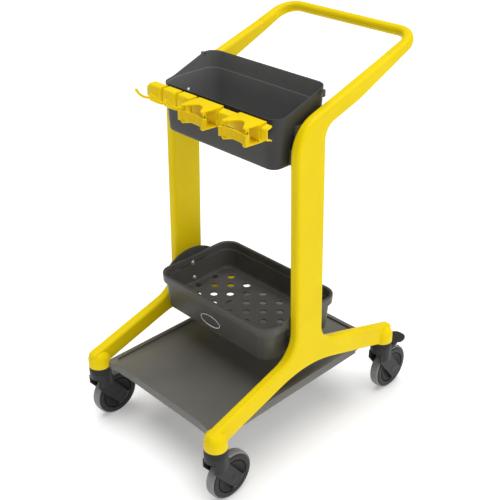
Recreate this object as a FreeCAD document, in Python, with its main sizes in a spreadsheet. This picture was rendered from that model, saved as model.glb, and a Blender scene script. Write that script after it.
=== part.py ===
# Housekeeping cart: two moulded side frames on four swivel casters, a push handle,
# a tall bin, a perforated basket, a bottom shelf and a tool rail with sliding holders.
#
# Axes: +X is the right-hand side of a person who faces the front of the cart,
# the front faces -Y, the push handle is at +Y, +Z is up.  Millimetres.
# Every sub-part is modelled in the "stem frame": Y = 0 on the front caster stems and
# Z = 0 on the underside of the caster sockets.  The last step moves each sub-part by
# the cells centre_shift and floor_drop, which puts the origin on the floor under the
# middle of the cart.
import FreeCAD, Part
import math
import os
import Sketcher
from FreeCAD import Vector, Placement, Rotation

doc = FreeCAD.newDocument("housekeeping_cart")
sheet = doc.addObject("Spreadsheet::Sheet", "Dims")

DIMS = [
    # --- whole cart
    ("floor_drop", 182.88, "floor to the underside of the caster sockets"),
    ("centre_shift", 367.824, "front stems to the middle of the cart's length"),
    ("stem_x", 240, "caster stem, distance from the middle plane"),
    ("wheelbase", 657.12, "front stems to rear stems"),
    # --- side frame plate
    ("plate_thick", 28.8, "side frame thickness"),
    ("plate_round", 8.64, "rounding of the side frame's long edges"),
    ("lean_angle", 1.375, "inward lean of the side frames, degrees"),
    ("lean_level", 19.2, "height where the plate is centred on the stems"),
    ("front_end_y", -26.88, "front end of the front leg"),
    ("front_end_top", 45.504, ""),
    ("upright_front", 279.36, "front edge of the upright"),
    ("front_crotch_z", 138.624, "front leg top line meets the upright"),
    ("front_crotch_radius", 82.56, ""),
    ("shoulder_z", 748.992, "arm top line meets the upright's front edge"),
    ("shoulder_radius", 96, ""),
    ("arm_end_y", 614.4, "end of the arm, where the push handle begins"),
    ("arm_end_top", 856.224, ""),
    ("arm_end_low", 821.568, ""),
    ("arm_bend_y", 499.2, "slight bend of the arm's underside"),
    ("arm_bend_z", 772.032, ""),
    ("arm_bend_radius", 249.6, ""),
    ("upright_rear", 376.8, "rear edge of the upright"),
    ("armpit_z", 733.728, ""),
    ("armpit_radius", 40.32, ""),
    ("rear_crotch_z", 142.272, "rear leg top line meets the upright"),
    ("rear_crotch_radius", 59.52, ""),
    ("rear_end_y", 684, "rear end of the rear leg"),
    ("rear_end_top", 46.416, ""),
    ("rear_low_z", -18.144, "underside line of the rear leg, produced to its end"),
    ("arch_y", 320.64, "apex of the arch between the legs"),
    ("arch_z", 96, ""),
    ("arch_radius", 326.4, ""),
    ("front_low_z", -10.368, "underside line of the front leg, produced to its end"),
    ("end_round", 9.6, "rounding of the leg tips"),
    # --- caster sockets and stems
    ("socket_radius", 30.72, "moulded caster socket"),
    ("socket_straight", 19.2, "height of the socket's straight part"),
    ("socket_edge", 1.92, "rounding of the socket's lower edge"),
    ("stem_radius", 5.76, "caster stem"),
    ("stem_up", 38.4, "stem length inside the socket"),
    ("stem_down", 31.68, "stem length inside the swivel head"),
    ("stem_head_radius", 9.6, "swivel retaining head of the stem"),
    ("stem_head_thick", 3.84, ""),
    # --- push handle
    ("grip_centre_y", 723.84, "centre line of the handle bar"),
    ("grip_centre_z", 881.76, ""),
    ("grip_half_deep", 13.44, "half of the bar's section, along the arm"),
    ("grip_half_high", 13.44, "half of the bar's section height"),
    ("handle_bend", 51.84, "centre-line radius of the handle's corners"),
    ("handle_spigot_radius", 7.68, "spigot of the handle inside the arm"),
    ("handle_spigot_length", 40.32, ""),
    ("handle_screw_radius", 2.4, ""),
    # --- upper bin
    ("bin_front", 234.24, "outer front face of the bin at the rim"),
    ("bin_rear", 421.92, "outer rear face at the rim"),
    ("bin_half", 204.48, "half width at the rim"),
    ("bin_low", 651.36, "underside of the bin"),
    ("bin_high", 835.2, "height of the loft before the rim is cut"),
    ("bin_corner", 38.4, "plan radius of the corners at the rim"),
    ("bin_taper", 8.64, "how much each wall leans in from rim to floor"),
    ("bin_foot", 4.8, "bevel around the bin's foot"),
    ("bin_wall", 3.456, "wall thickness"),
    ("bin_rim_front", 777.6, "rim height at the front"),
    ("bin_rim_rear", 821.76, "rim height at the rear"),
    ("bin_rim_start", 273.6, "where the side rims begin to rise"),
    ("bin_rim_end", 394.56, "where the side rims reach the rear height"),
    ("bin_rim_round", 80.64, "rounding of the rim's two bends"),
    ("bin_step_z", 776.64, "ledge inside the bin"),
    ("bin_step", 1.536, "depth of the ledge"),
    # --- lower basket
    ("basket_front", 200.64, "rim, front"),
    ("basket_rear", 480.96, "rim, rear"),
    ("basket_half", 217.92, "rim, half width"),
    ("basket_corner", 44.16, "plan radius of the rim corners"),
    ("basket_rim_z", 228.48, "top of the rim"),
    ("basket_lip_low", 203.52, "lower edge of the lip band"),
    ("basket_low", 121.92, "underside of the basket's walls"),
    ("basket_floor", 144.96, "top of the basket's floor"),
    ("basket_taper", 7.68, "how much each wall leans in from the lip to the bottom"),
    ("basket_lip_out", 7.68, "how far the lip stands out from the wall"),
    ("basket_wall", 3.456, "wall thickness"),
    ("basket_hole", 10.56, "radius of the floor holes"),
    ("basket_pitch", 16.512, "half pitch of the staggered hole pattern"),
    ("ear_low", 144, "lower edge of the mounting ear"),
    ("ear_high", 251.52, "top of the mounting ear"),
    ("ear_half", 59.52, "half length of the mounting ear"),
    ("ear_y", 327.84, "middle of the mounting ear"),
    # --- bolts
    ("bolt_radius", 2.88, "M6 bolt shank"),
    ("bolt_head", 6.24, "bolt head radius"),
    ("bolt_head_thick", 3.264, ""),
    ("bolt_y", 327.84, "bolt line, middle of the uprights"),
    ("basket_bolt_low", 159.36, ""),
    ("basket_bolt_high", 207.36, ""),
    ("bin_bolt_low", 675.84, ""),
    ("bin_bolt_high", 730.56, ""),
    ("bolt_depth", 17.28, "bolt length inside the side frame"),
    # --- bottom shelf
    ("shelf_half", 221.76, "half width of the bottom shelf"),
    ("shelf_front", 24, "front edge"),
    ("shelf_rear", 633.12, "rear edge"),
    ("shelf_low", -11.52, "underside of the skirt"),
    ("shelf_high", 14.4, "top of the raised lip"),
    ("shelf_floor", 7.68, "top of the recessed tray"),
    ("shelf_skin", 2.88, "moulded wall thickness"),
    ("shelf_lip", 12.48, "width of the lip around the tray"),
    ("shelf_clear", 31.2, "cut-out around the sockets"),
    ("shelf_clear_low", 32.64, "cut-out around the swivel heads"),
    ("shelf_front_tip", 9.12, "front corners reach forward to here"),
    # --- tool rail
    ("rail_left", -212.16, ""),
    ("rail_right", 209.28, ""),
    ("rail_front", 203.52, "front of the rail's web"),
    ("rail_back", 220.8, "back edge of the rail's flared lips"),
    ("rail_low", 738.24, ""),
    ("rail_high", 775.68, ""),
    ("rail_wall", 3.36, ""),
    # --- holders on the rail
    ("holder_gap", 0.384, "running gap between holders and rail"),
    ("hook_width", 48, ""),
    ("hook_front", 197.568, "front face of the hook blocks"),
    ("hook_first", -177.12, "first hook block"),
    ("hook_pitch", 54.72, ""),
    ("hook_rod", 3.36, "radius of the hook rod"),
    ("hook_bend", 53.76, "radius of the hook's bend"),
    ("hook_rod_z", 752.64, ""),
    ("hook_straight", 5.76, "straight part of the hook rod"),
    ("grip_one", 7.2, "middle of the first grip"),
    ("grip_two", 147.84, "middle of the second grip"),
    ("grip_half", 42.24, "half width of the grip's body"),
    ("grip_plate", 3.456, "thickness of the grip's plates"),
    ("holder_low", 733.92, ""),
    ("holder_high", 780, ""),
    ("claw_back", 223.68, "how far the holders reach back over the rail"),
    ("band_half", 44.928, "half width of the rubber band"),
    ("band_low", 740.928, ""),
    ("band_high", 764.832, ""),
    # --- badge
    ("badge_wide", 38.4, "half length of the oval plate"),
    ("badge_tall", 18.24, "half height of the oval plate"),
    ("badge_thick", 1.152, ""),
    ("badge_x", -9.6, "the badge sits a little left of the middle"),
    ("badge_z", 153.6, ""),
    # --- casters, relative to the stem axis
    ("cap_thick", 7.68, "fixed cap under the socket"),
    ("head_radius", 30.72, "swivel head"),
    ("head_top", -8.64, ""),
    ("head_low", -64.32, ""),
    ("slot_half", 18.24, "half width of the wheel slot"),
    ("slot_top", -38.4, ""),
    ("leg_out", 23.52, "outer face of the fork legs"),
    ("trail", 41.088, "axle behind the stem"),
    ("axle_z", -114.72, ""),
    ("axle_radius", 3.84, ""),
    ("wheel_radius", 68.16, ""),
    ("tread_half", 12.48, "half width of the tread"),
    ("wheel_half", 15.84, "half width over the side walls"),
    ("side_radius", 61.44, "outer radius of the side wall ring"),
    ("hub_radius", 47.04, ""),
    ("hub_rim", 44.16, "inner radius of the hub's rim ring"),
    ("hub_half", 14.88, ""),
    ("hub_web", 9.6, "half thickness of the hub's recessed web"),
    ("bore_gap", 0.048, "running clearance of the pivots"),
    ("head_gap", 0.96, "gap between fixed cap and swivel head"),
    # --- brake pedals
    ("pedal_y", 40.32, "pedal pivot behind the stem"),
    ("pedal_z", -27.84, ""),
    ("pedal_pin", 2.4, "radius of the pedal's pin"),
    ("pedal_barrel", 5.28, ""),
    ("pedal_reach", 98.88, "tip of the pedal behind the stem"),
    ("pedal_half", 24.96, "half width of the pedal"),
    ("pedal_thick", 5.76, ""),
]
VALUES = {}
for i, (name, value, note) in enumerate(DIMS, start=1):
    sheet.set("A%d" % i, name)
    sheet.set("B%d" % i, str(value))
    if note:
        sheet.set("C%d" % i, note)
    sheet.setAlias("B%d" % i, name)
doc.recompute()


def d(name):
    """Value of a cell, with an optional leading minus."""
    sign = 1.0
    if name.startswith("-"):
        sign, name = -1.0, name[1:]
    cell = sheet.get(name)
    return sign * float(getattr(cell, "Value", cell))


def cell(name):
    return "-Dims." + name[1:] if name.startswith("-") else "Dims." + name


def bind(obj, **props):
    for prop, expr in props.items():
        obj.setExpression(prop.replace("__", "."), expr)
    return obj


# ------------------------------------------------------------------ helpers
def body(name):
    return doc.addObject("PartDesign::Body", name)


def plane(bd, role):
    for f in bd.Origin.OriginFeatures:
        if f.Role == role:
            return f
    raise RuntimeError(role)


def sketch(bd, name, role, z=None, at=(0, 0)):
    sk = bd.newObject("Sketcher::SketchObject", name)
    sk.AttachmentSupport = [(plane(bd, role), "")]
    sk.MapMode = "FlatFace"
    sk.AttachmentOffset = Placement(Vector(at[0], at[1], 0), Rotation())
    if z is not None:
        sk.setExpression("AttachmentOffset.Base.z", z)
    return sk


def pin(sk, geo, pos, xe, ye, xv, yv):
    """Hold one sketch point at cell-driven coordinates."""
    for kind, expr, v in (("DistanceX", xe, xv), ("DistanceY", ye, yv)):
        if abs(v) < 1e-9:
            axis = -2 if kind == "DistanceX" else -1
            sk.addConstraint(Sketcher.Constraint("PointOnObject", geo, pos, axis))
            continue
        c = sk.addConstraint(Sketcher.Constraint(kind, -1, 1, geo, pos, v))
        if expr:
            sk.setExpression("Constraints[%d]" % c, expr)


def polygon(sk, pts):
    """Closed polygon.  Each point is (x, y), each a cell name or a plain number."""
    n = len(pts)
    vals = []
    for a, b in pts:
        vals.append((d(a) if isinstance(a, str) else float(a),
                     d(b) if isinstance(b, str) else float(b)))
    for i in range(n):
        sk.addGeometry(Part.LineSegment(Vector(vals[i][0], vals[i][1], 0),
                                        Vector(vals[(i + 1) % n][0], vals[(i + 1) % n][1], 0)), False)
    for i in range(n):
        sk.addConstraint(Sketcher.Constraint("Coincident", i, 2, (i + 1) % n, 1))
    for i, (a, b) in enumerate(pts):
        pin(sk, i, 1, cell(a) if isinstance(a, str) else None,
            cell(b) if isinstance(b, str) else None, vals[i][0], vals[i][1])


def rounded(sk, w, h, r, wv, hv, rv):
    """Rounded rectangle centred on the sketch origin; w, h, r are expressions."""
    x, y = wv / 2.0, hv / 2.0
    V = Vector
    sk.addGeometry(Part.LineSegment(V(-x + rv, -y, 0), V(x - rv, -y, 0)), False)
    sk.addGeometry(Part.LineSegment(V(x, -y + rv, 0), V(x, y - rv, 0)), False)
    sk.addGeometry(Part.LineSegment(V(x - rv, y, 0), V(-x + rv, y, 0)), False)
    sk.addGeometry(Part.LineSegment(V(-x, y - rv, 0), V(-x, -y + rv, 0)), False)
    h2 = math.pi / 2
    for cx, cy, a0 in ((x - rv, -y + rv, -h2), (x - rv, y - rv, 0), (-x + rv, y - rv, h2), (-x + rv, -y + rv, 2 * h2)):
        sk.addGeometry(Part.ArcOfCircle(Part.Circle(V(cx, cy, 0), V(0, 0, 1), rv), a0, a0 + h2), False)
    C = Sketcher.Constraint
    for line_a, arc, line_b in ((0, 4, 1), (1, 5, 2), (2, 6, 3), (3, 7, 0)):
        sk.addConstraint(C("Tangent", line_a, 2, arc, 1))
        sk.addConstraint(C("Tangent", arc, 2, line_b, 1))
    for k in (0, 2):
        sk.addConstraint(C("Horizontal", k))
    for k in (1, 3):
        sk.addConstraint(C("Vertical", k))
    for k in (5, 6, 7):
        sk.addConstraint(C("Equal", 4, k))
    sk.addConstraint(C("Symmetric", 0, 1, 2, 1, -1, 1))
    c = sk.addConstraint(C("Radius", 4, rv)); sk.setExpression("Constraints[%d]" % c, r)
    c = sk.addConstraint(C("DistanceX", 3, 1, 1, 1, wv)); sk.setExpression("Constraints[%d]" % c, w)
    c = sk.addConstraint(C("DistanceY", 0, 1, 2, 1, hv)); sk.setExpression("Constraints[%d]" % c, h)


def pad(bd, sk, name, length, both=False, reverse=False):
    p = bd.newObject("PartDesign::Pad", name)
    p.Profile = sk
    p.setExpression("Length", length)
    if both:
        p.Midplane = True
    if reverse:
        p.Reversed = True
    doc.recompute()
    return p


def prim(kind, name, x="0", y="0", z="0", rot=None, **sizes):
    o = doc.addObject("Part::" + kind, name)
    for k, e in sizes.items():
        o.setExpression(k, e)
    if rot is not None:
        o.Placement = Placement(Vector(), rot)
    o.setExpression("Placement.Base.x", x)
    o.setExpression("Placement.Base.y", y)
    o.setExpression("Placement.Base.z", z)
    return o


ALONG_X = Rotation(Vector(0, 1, 0), 90)
ALONG_Y = Rotation(Vector(1, 0, 0), -90)


def rod_x(name, x, y, z, radius, length):
    return prim("Cylinder", name, x, y, z, ALONG_X, Radius=radius, Height=length)


def fuse(name, *shapes):
    o = doc.addObject("Part::MultiFuse", name)
    o.Shapes = list(shapes)
    o.Refine = True
    return o


def cut(name, base, *tools):
    tool = tools[0] if len(tools) == 1 else fuse(name + "_tools", *tools)
    o = doc.addObject("Part::Cut", name)
    o.Base = base
    o.Tool = tool
    o.Refine = True
    return o


def group(name, *shapes):
    """Separate identical solids kept in one sub-part."""
    o = doc.addObject("Part::Compound", name)
    o.Links = list(shapes)
    return o


def vertical_edges(shape, pts, tol=0.6):
    """Edge names parallel to the pad direction that pass through the given points."""
    out = []
    for p in pts:
        best = None
        for i, e in enumerate(shape.Edges, start=1):
            dist = e.distToShape(Part.Vertex(Vector(*p)))[0]
            if dist < tol and e.Length > 5 and len(e.Vertexes) == 2:
                v = e.Vertexes[1].Point - e.Vertexes[0].Point
                if abs(v.normalize().dot(Vector(*AXIS))) > 0.99:
                    best = "Edge%d" % i
        if best is None:
            raise RuntimeError("no edge at %r" % (p,))
        out.append(best)
    return out


NODES = []


def keep(obj, label):
    """Name a finished sub-part and stand it on the floor."""
    obj.Label = label
    pl = obj.Placement
    obj.setExpression("Placement.Base.y", "-Dims.centre_shift")
    obj.setExpression("Placement.Base.z", "Dims.floor_drop")
    NODES.append(obj)
    return obj
AXIS = (1, 0, 0)

# ------------------------------------------------------------------ side frames
# One moulded plate: two splayed legs, the upright and the arm in a single profile,
# leaning inward by lean_angle, with a round upright socket at each leg's tip.
frame_body = body("SidePlate")
sk = sketch(frame_body, "SideProfile", "YZ_Plane")
profile = [
    ("front_end_y", "front_low_z"), ("front_end_y", "front_end_top"),
    ("upright_front", "front_crotch_z"), ("upright_front", "shoulder_z"),
    ("arm_end_y", "arm_end_top"), ("arm_end_y", "arm_end_low"),
    ("arm_bend_y", "arm_bend_z"), ("upright_rear", "armpit_z"),
    ("upright_rear", "rear_crotch_z"), ("rear_end_y", "rear_end_top"),
    ("rear_end_y", "rear_low_z"), ("arch_y", "arch_z")]
polygon(sk, profile)
pad(frame_body, sk, "SidePad", "Dims.plate_thick", both=True)


def profile_fillet(name, point, radius):
    last = frame_body.Tip
    edges = vertical_edges(last.Shape, [(0, d(point[0]), d(point[1]) if isinstance(point[1], str) else point[1])])
    f = frame_body.newObject("PartDesign::Fillet", name)
    f.Base = (last, edges)
    f.setExpression("Radius", "Dims." + radius)
    doc.recompute()
    return f


profile_fillet("FrontCrotch", profile[2], "front_crotch_radius")
profile_fillet("Shoulder", profile[3], "shoulder_radius")
profile_fillet("ArmBend", profile[6], "arm_bend_radius")
profile_fillet("Armpit", profile[7], "armpit_radius")
profile_fillet("RearCrotch", profile[8], "rear_crotch_radius")
profile_fillet("Arch", profile[11], "arch_radius")
profile_fillet("FrontTip", profile[1], "end_round")
profile_fillet("RearTip", profile[9], "end_round")
last = frame_body.Tip
long_edges = []
for i, e in enumerate(last.Shape.Edges, start=1):
    on_side = [abs(abs(v.Point.x) - d("plate_thick") / 2) < 1e-3 for v in e.Vertexes]
    same = len({round(v.Point.x, 3) for v in e.Vertexes}) == 1
    ys = [v.Point.y for v in e.Vertexes]
    zs = [v.Point.z for v in e.Vertexes]
    at_arm_end = all(abs(y - d("arm_end_y")) < 1e-3 for y in ys)
    if all(on_side) and same and not at_arm_end:
        long_edges.append("Edge%d" % i)
round_edges = frame_body.newObject("PartDesign::Fillet", "LongEdges")
round_edges.Base = (last, long_edges)
round_edges.setExpression("Radius", "Dims.plate_round")
doc.recompute()
tilt = math.radians(d("lean_angle"))
frame_body.Placement = Placement(
    Vector(d("stem_x") + d("lean_level") * math.sin(tilt), 0, d("lean_level") * (1 - math.cos(tilt))),
    Rotation(Vector(0, 1, 0), -d("lean_angle")))

sockets = []
for tag, y in (("Front", "0"), ("Rear", "Dims.wheelbase")):
    sockets.append(prim("Cylinder", tag + "Socket", "Dims.stem_x", y, "0",
                        Radius="Dims.socket_radius", Height="Dims.socket_straight"))
    sockets.append(prim("Sphere", tag + "Dome", "Dims.stem_x", y, "Dims.socket_straight",
                        Radius="Dims.socket_radius"))
plate_and_sockets = fuse("PlateAndSockets", frame_body, *sockets)
under = prim("Box", "BelowSockets", "Dims.stem_x - 60", "-100", "-120",
             Length="120", Width="Dims.wheelbase + 200", Height="120")
bores = [prim("Cylinder", "StemBore" + t, "Dims.stem_x", y, "-1",
              Radius="Dims.stem_radius", Height="Dims.stem_up + 1") for t, y in (("F", "0"), ("R", "Dims.wheelbase"))]


def inner_face(z):
    """X of the right frame's inner face at height z."""
    return d("stem_x") - d("plate_thick") / 2 - math.tan(tilt) * (z - d("lean_level"))


def bolt_bore(name, z):
    zz = d(z)
    x0 = inner_face(zz)
    o = rod_x(name, "%.4f" % (x0 - 2), "Dims.bolt_y", "Dims." + z, "Dims.bolt_radius", "Dims.bolt_depth + 2")
    return o


frame_bolts = [bolt_bore("Bore_" + z, z) for z in
               ("basket_bolt_low", "basket_bolt_high", "bin_bolt_low", "bin_bolt_high")]

# the spigot bore for the push handle, along the arm's end
arm_mid_z = (d("arm_end_top") + d("arm_end_low")) / 2
arm_x = d("stem_x") - math.tan(tilt) * (arm_mid_z - d("lean_level"))
rise = Vector(0, d("grip_centre_y") - d("arm_end_y"), d("grip_centre_z") - arm_mid_z).normalize()
spigot_rot = Rotation(Vector(0, 0, 1), rise)
spigot_bore = prim("Cylinder", "SpigotBore", "%.4f" % arm_x,
                   "Dims.arm_end_y - %.5f * (Dims.handle_spigot_length + 1)" % rise.y,
                   "(Dims.arm_end_top + Dims.arm_end_low)/2 - %.5f * (Dims.handle_spigot_length + 1)" % rise.z,
                   spigot_rot, Radius="Dims.handle_spigot_radius", Height="Dims.handle_spigot_length + 6")
# one screw from below holds each spigot
screw_at = Vector(arm_x, d("arm_end_y"), arm_mid_z) - rise * (d("handle_spigot_length") * 0.55)
normal = Vector(0, -rise.z, rise.y)
low_face = Vector(screw_at)
screw_rot = Rotation(Vector(0, 0, 1), normal)
screw_from = screw_at - normal * 15.36
screw_bore = prim("Cylinder", "HandleScrewBore", "%.4f" % (screw_from.x), "%.4f" % (screw_from.y - normal.y * 11.52),
                  "%.4f" % (screw_from.z - normal.z * 11.52), screw_rot,
                  Radius="Dims.handle_screw_radius", Height="%.3f" % 28.8)
screw_head_bore = prim("Cylinder", "HandleScrewSeat", "%.4f" % (screw_from.x - normal.x * 13.44),
                       "%.4f" % (screw_from.y - normal.y * 13.44), "%.4f" % (screw_from.z - normal.z * 13.44), screw_rot,
                       Radius="Dims.handle_screw_radius * 1.9", Height="%.3f" % 13.44)
# pilot bores for the shelf's corner screws
shelf_bores = []
for tag, y0, sy in (("F", 0.0, 1), ("R", d("wheelbase"), -1)):
    dirn = Vector(-math.cos(math.radians(52)), sy * math.sin(math.radians(52)), 0)
    o = doc.addObject("Part::Cylinder", "ShelfBore" + tag)
    o.Radius = 1.584
    o.Height = 38.4
    o.Placement = Placement(Vector(d("stem_x"), y0, 2.112) + dirn * 12.48, Rotation(Vector(0, 0, 1), dirn))
    shelf_bores.append(o)
right_frame = cut("RightFrameCut", plate_and_sockets, under, spigot_bore, screw_bore, screw_head_bore, *(bores + frame_bolts + shelf_bores))
doc.recompute()
keep(right_frame, "right_side_frame")
left_frame = doc.addObject("Part::Mirroring", "LeftFrame")
left_frame.Source = right_frame
left_frame.Base = Vector(0, 0, 0)
left_frame.Normal = Vector(1, 0, 0)
doc.recompute()
left_frame.Label = "left_side_frame"
NODES.append(left_frame)

# ------------------------------------------------------------------ push handle
# A U-shaped bar whose section runs from the arm's rounded rectangle to a nearly round
# grip.  It is swept along the arm line, round a corner, across, and back.


def section(centre, ax, up, a, b, r):
    """Rounded rectangle wire, half sizes a (along ax) and b (along up)."""
    r = min(r, a - 0.05, b - 0.05)
    pts = []
    edges = []

    def P(u, v):
        return centre + ax * u + up * v
    corners = [(a - r, b - r, 0), (-(a - r), b - r, 90), (-(a - r), -(b - r), 180), (a - r, -(b - r), 270)]
    for cx, cy, a0 in corners:
        t0, t1, t2 = (math.radians(a0 + k) for k in (0, 45, 90))
        pts.append((P(cx + r * math.cos(t0), cy + r * math.sin(t0)),
                    P(cx + r * math.cos(t1), cy + r * math.sin(t1)),
                    P(cx + r * math.cos(t2), cy + r * math.sin(t2))))
    for i in range(4):
        edges.append(Part.Arc(*pts[i]).toShape())
        edges.append(Part.LineSegment(pts[i][2], pts[(i + 1) % 4][0]).toShape())
    return Part.Wire(edges)


start = Vector(arm_x, d("arm_end_y"), arm_mid_z)
bar = Vector(0, d("grip_centre_y"), d("grip_centre_z"))
bend = d("handle_bend")
up_dir = Vector(0, -rise.z, rise.y)
c1 = Vector(arm_x, bar.y, bar.z) - rise * bend                       # bend starts
c3 = Vector(arm_x - bend, bar.y, bar.z)                              # bend ends on the bar
mid_c = Vector(arm_x - bend, bar.y, bar.z) - rise * bend
c2 = mid_c + (Vector(1, 0, 0) + rise).normalize() * bend
half_w = d("plate_thick") / 2
half_h = (d("arm_end_top") - d("arm_end_low")) / 2 * rise.y
end_half = (d("arm_end_top") - d("arm_end_low")) / 2
gh, gd = d("grip_half_high"), d("grip_half_deep")
round0, round1 = d("plate_round"), min(gh, gd) * 0.93


def sweep_half():
    X = Vector(1, 0, 0)
    # the first section lies in the arm's own end face, which leans with the side frame
    lean_x = Vector(math.cos(tilt), 0, math.sin(tilt))
    lean_z = Vector(-math.sin(tilt), 0, math.cos(tilt))
    first = Part.makeLoft([section(start, lean_x, lean_z, half_w, end_half, round0),
                           section(c1, X, up_dir, half_w * 0.97, (half_h + gh) / 2, (round0 + round1) / 2)], True, True)
    pieces = [first]
    steps = 6
    rings = []
    for k in range(steps + 1):
        t = k / float(steps)
        ang = t * math.pi / 2
        out = Vector(1, 0, 0) * math.cos(ang) + rise * math.sin(ang)
        p = mid_c + out * bend
        e = t * t * (3 - 2 * t)
        a = (half_w * 0.97) * (1 - e) + gd * e
        b = (half_h + gh) / 2 * (1 - e) + gh * e
        r = (round0 + round1) / 2 * (1 - e) + round1 * e
        rings.append(section(p, out, up_dir, a, b, r))
    pieces.append(Part.makeLoft(rings, True, False))
    a_face = Part.Face(section(c3, rise, up_dir, gd, gh, round1))
    pieces.append(a_face.extrude(Vector(-c3.x, 0, 0)))
    return pieces


half = sweep_half()
solid = half[0].multiFuse(half[1:])
spigot = Part.makeCylinder(d("handle_spigot_radius"), d("handle_spigot_length") + 4,
                           start - rise * d("handle_spigot_length"), rise)
solid = solid.fuse(spigot)
screw_hole = Part.makeCylinder(d("handle_screw_radius"), 28.8, screw_from - normal * 11.52, normal)
solid = solid.cut(screw_hole)
mirror = solid.mirror(Vector(0, 0, 0), Vector(1, 0, 0))
whole = solid.fuse(mirror).removeSplitter()
handle = doc.addObject("Part::Feature", "PushHandle")
handle.Shape = whole.Solids[0] if len(whole.Solids) == 1 else whole
keep(handle, "push_handle")

screws = []
for side in (1, -1):
    a = screw_from - normal * 11.52
    shank = Part.makeCylinder(d("handle_screw_radius"), 28.8, Vector(a.x * side, a.y, a.z), normal)
    h0 = screw_from - normal * 2.112
    head = Part.makeCylinder(d("handle_screw_radius") * 1.85, 1.92, Vector(h0.x * side, h0.y, h0.z), normal)
    clip = Part.makeCylinder(19.2, 38.4, Vector(h0.x * side, h0.y, h0.z) , normal)
    screws.append(shank.common(clip).fuse(head).removeSplitter())
screw_node = doc.addObject("Part::Feature", "HandleScrews")
screw_node.Shape = Part.Compound([s.Solids[0] for s in screws])
keep(screw_node, "handle_screws")

# ------------------------------------------------------------------ upper bin
bin_body = body("BinBody")
mid_y = "(Dims.bin_front + Dims.bin_rear)/2"
mid_yv = (d("bin_front") + d("bin_rear")) / 2
tw, th = 2 * d("bin_half"), d("bin_rear") - d("bin_front")
tp, wl, st = d("bin_taper"), d("bin_wall"), d("bin_step")


def rr(bd, name, z_expr, w, h, r, wv, hv, rv, at_y=mid_yv, at_expr=mid_y):
    s = sketch(bd, name, "XY_Plane", z=z_expr, at=(0, at_y))
    s.setExpression("AttachmentOffset.Base.y", at_expr)
    rounded(s, w, h, r, wv, hv, rv)
    return s


W, D_, R_ = "2*Dims.bin_half", "(Dims.bin_rear - Dims.bin_front)", "Dims.bin_corner"
s0 = rr(bin_body, "BinFoot", "Dims.bin_low", W + " - 2*Dims.bin_taper - 2*Dims.bin_foot", D_ + " - 2*Dims.bin_taper - 2*Dims.bin_foot",
        R_ + " - 6 - Dims.bin_foot", tw - 2 * tp - 2 * d("bin_foot"), th - 2 * tp - 2 * d("bin_foot"), d("bin_corner") - 6 - d("bin_foot"))
sm = rr(bin_body, "BinFootTop", "Dims.bin_low + Dims.bin_foot", W + " - 2*Dims.bin_taper", D_ + " - 2*Dims.bin_taper", R_ + " - 6",
        tw - 2 * tp, th - 2 * tp, d("bin_corner") - 6)
s1 = rr(bin_body, "BinTop", "Dims.bin_high", W, D_, R_, tw, th, d("bin_corner"))
loft = bin_body.newObject("PartDesign::AdditiveLoft", "BinOuter")
loft.Profile = s0
loft.Sections = [sm, s1]
loft.Ruled = True
doc.recompute()
i0 = rr(bin_body, "BinInsideLow", "Dims.bin_low + Dims.bin_wall", W + " - 2*Dims.bin_taper - 2*Dims.bin_wall",
        D_ + " - 2*Dims.bin_taper - 2*Dims.bin_wall", R_ + " - 6 - Dims.bin_wall",
        tw - 2 * tp - 2 * wl, th - 2 * tp - 2 * wl, d("bin_corner") - 6 - wl)
i1 = rr(bin_body, "BinInsideHigh", "Dims.bin_high", W + " - 2*Dims.bin_wall", D_ + " - 2*Dims.bin_wall",
        R_ + " - Dims.bin_wall", tw - 2 * wl, th - 2 * wl, d("bin_corner") - wl)
hollow = bin_body.newObject("PartDesign::SubtractiveLoft", "BinInner")
hollow.Profile = i0
hollow.Sections = [i1]
hollow.Ruled = True
doc.recompute()
j0 = rr(bin_body, "BinLedge", "Dims.bin_step_z", W + " - 2*Dims.bin_wall + 2*Dims.bin_step - 2*Dims.bin_taper*0.32",
        D_ + " - 2*Dims.bin_wall + 2*Dims.bin_step - 2*Dims.bin_taper*0.32", R_ + " - Dims.bin_wall",
        tw - 2 * wl + 2 * st - 0.64 * tp, th - 2 * wl + 2 * st - 0.64 * tp, d("bin_corner") - wl)
j1 = rr(bin_body, "BinLedgeTop", "Dims.bin_high", W + " - 2*Dims.bin_wall + 2*Dims.bin_step",
        D_ + " - 2*Dims.bin_wall + 2*Dims.bin_step", R_ + " - Dims.bin_wall",
        tw - 2 * wl + 2 * st, th - 2 * wl + 2 * st, d("bin_corner") - wl)
ledge = bin_body.newObject("PartDesign::SubtractiveLoft", "BinUpperInside")
ledge.Profile = j0
ledge.Sections = [j1]
ledge.Ruled = True
doc.recompute()
rim_body = body("BinRimCutter")
rk = sketch(rim_body, "RimLine", "YZ_Plane")
polygon(rk, [(172.8, "bin_rim_front"), ("bin_rim_start", "bin_rim_front"), ("bin_rim_end", "bin_rim_rear"),
             (499.2, "bin_rim_rear"), (499.2, 902.4), (172.8, 902.4)])
pad(rim_body, rk, "RimPad", "4*Dims.bin_half", both=True)
for name_, py, pz in (("RimStart", "bin_rim_start", "bin_rim_front"), ("RimEnd", "bin_rim_end", "bin_rim_rear")):
    last = rim_body.Tip
    fl = rim_body.newObject("PartDesign::Fillet", name_)
    fl.Base = (last, vertical_edges(last.Shape, [(0, d(py), d(pz))]))
    fl.setExpression("Radius", "Dims.bin_rim_round")
    doc.recompute()


def side_hole(name, z, x_out, radius="Dims.bolt_radius + 0.3"):
    """A hole through both side walls."""
    return rod_x(name, "-(%s)" % x_out, "Dims.bolt_y", "Dims." + z, radius, "2*(%s)" % x_out)


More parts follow.
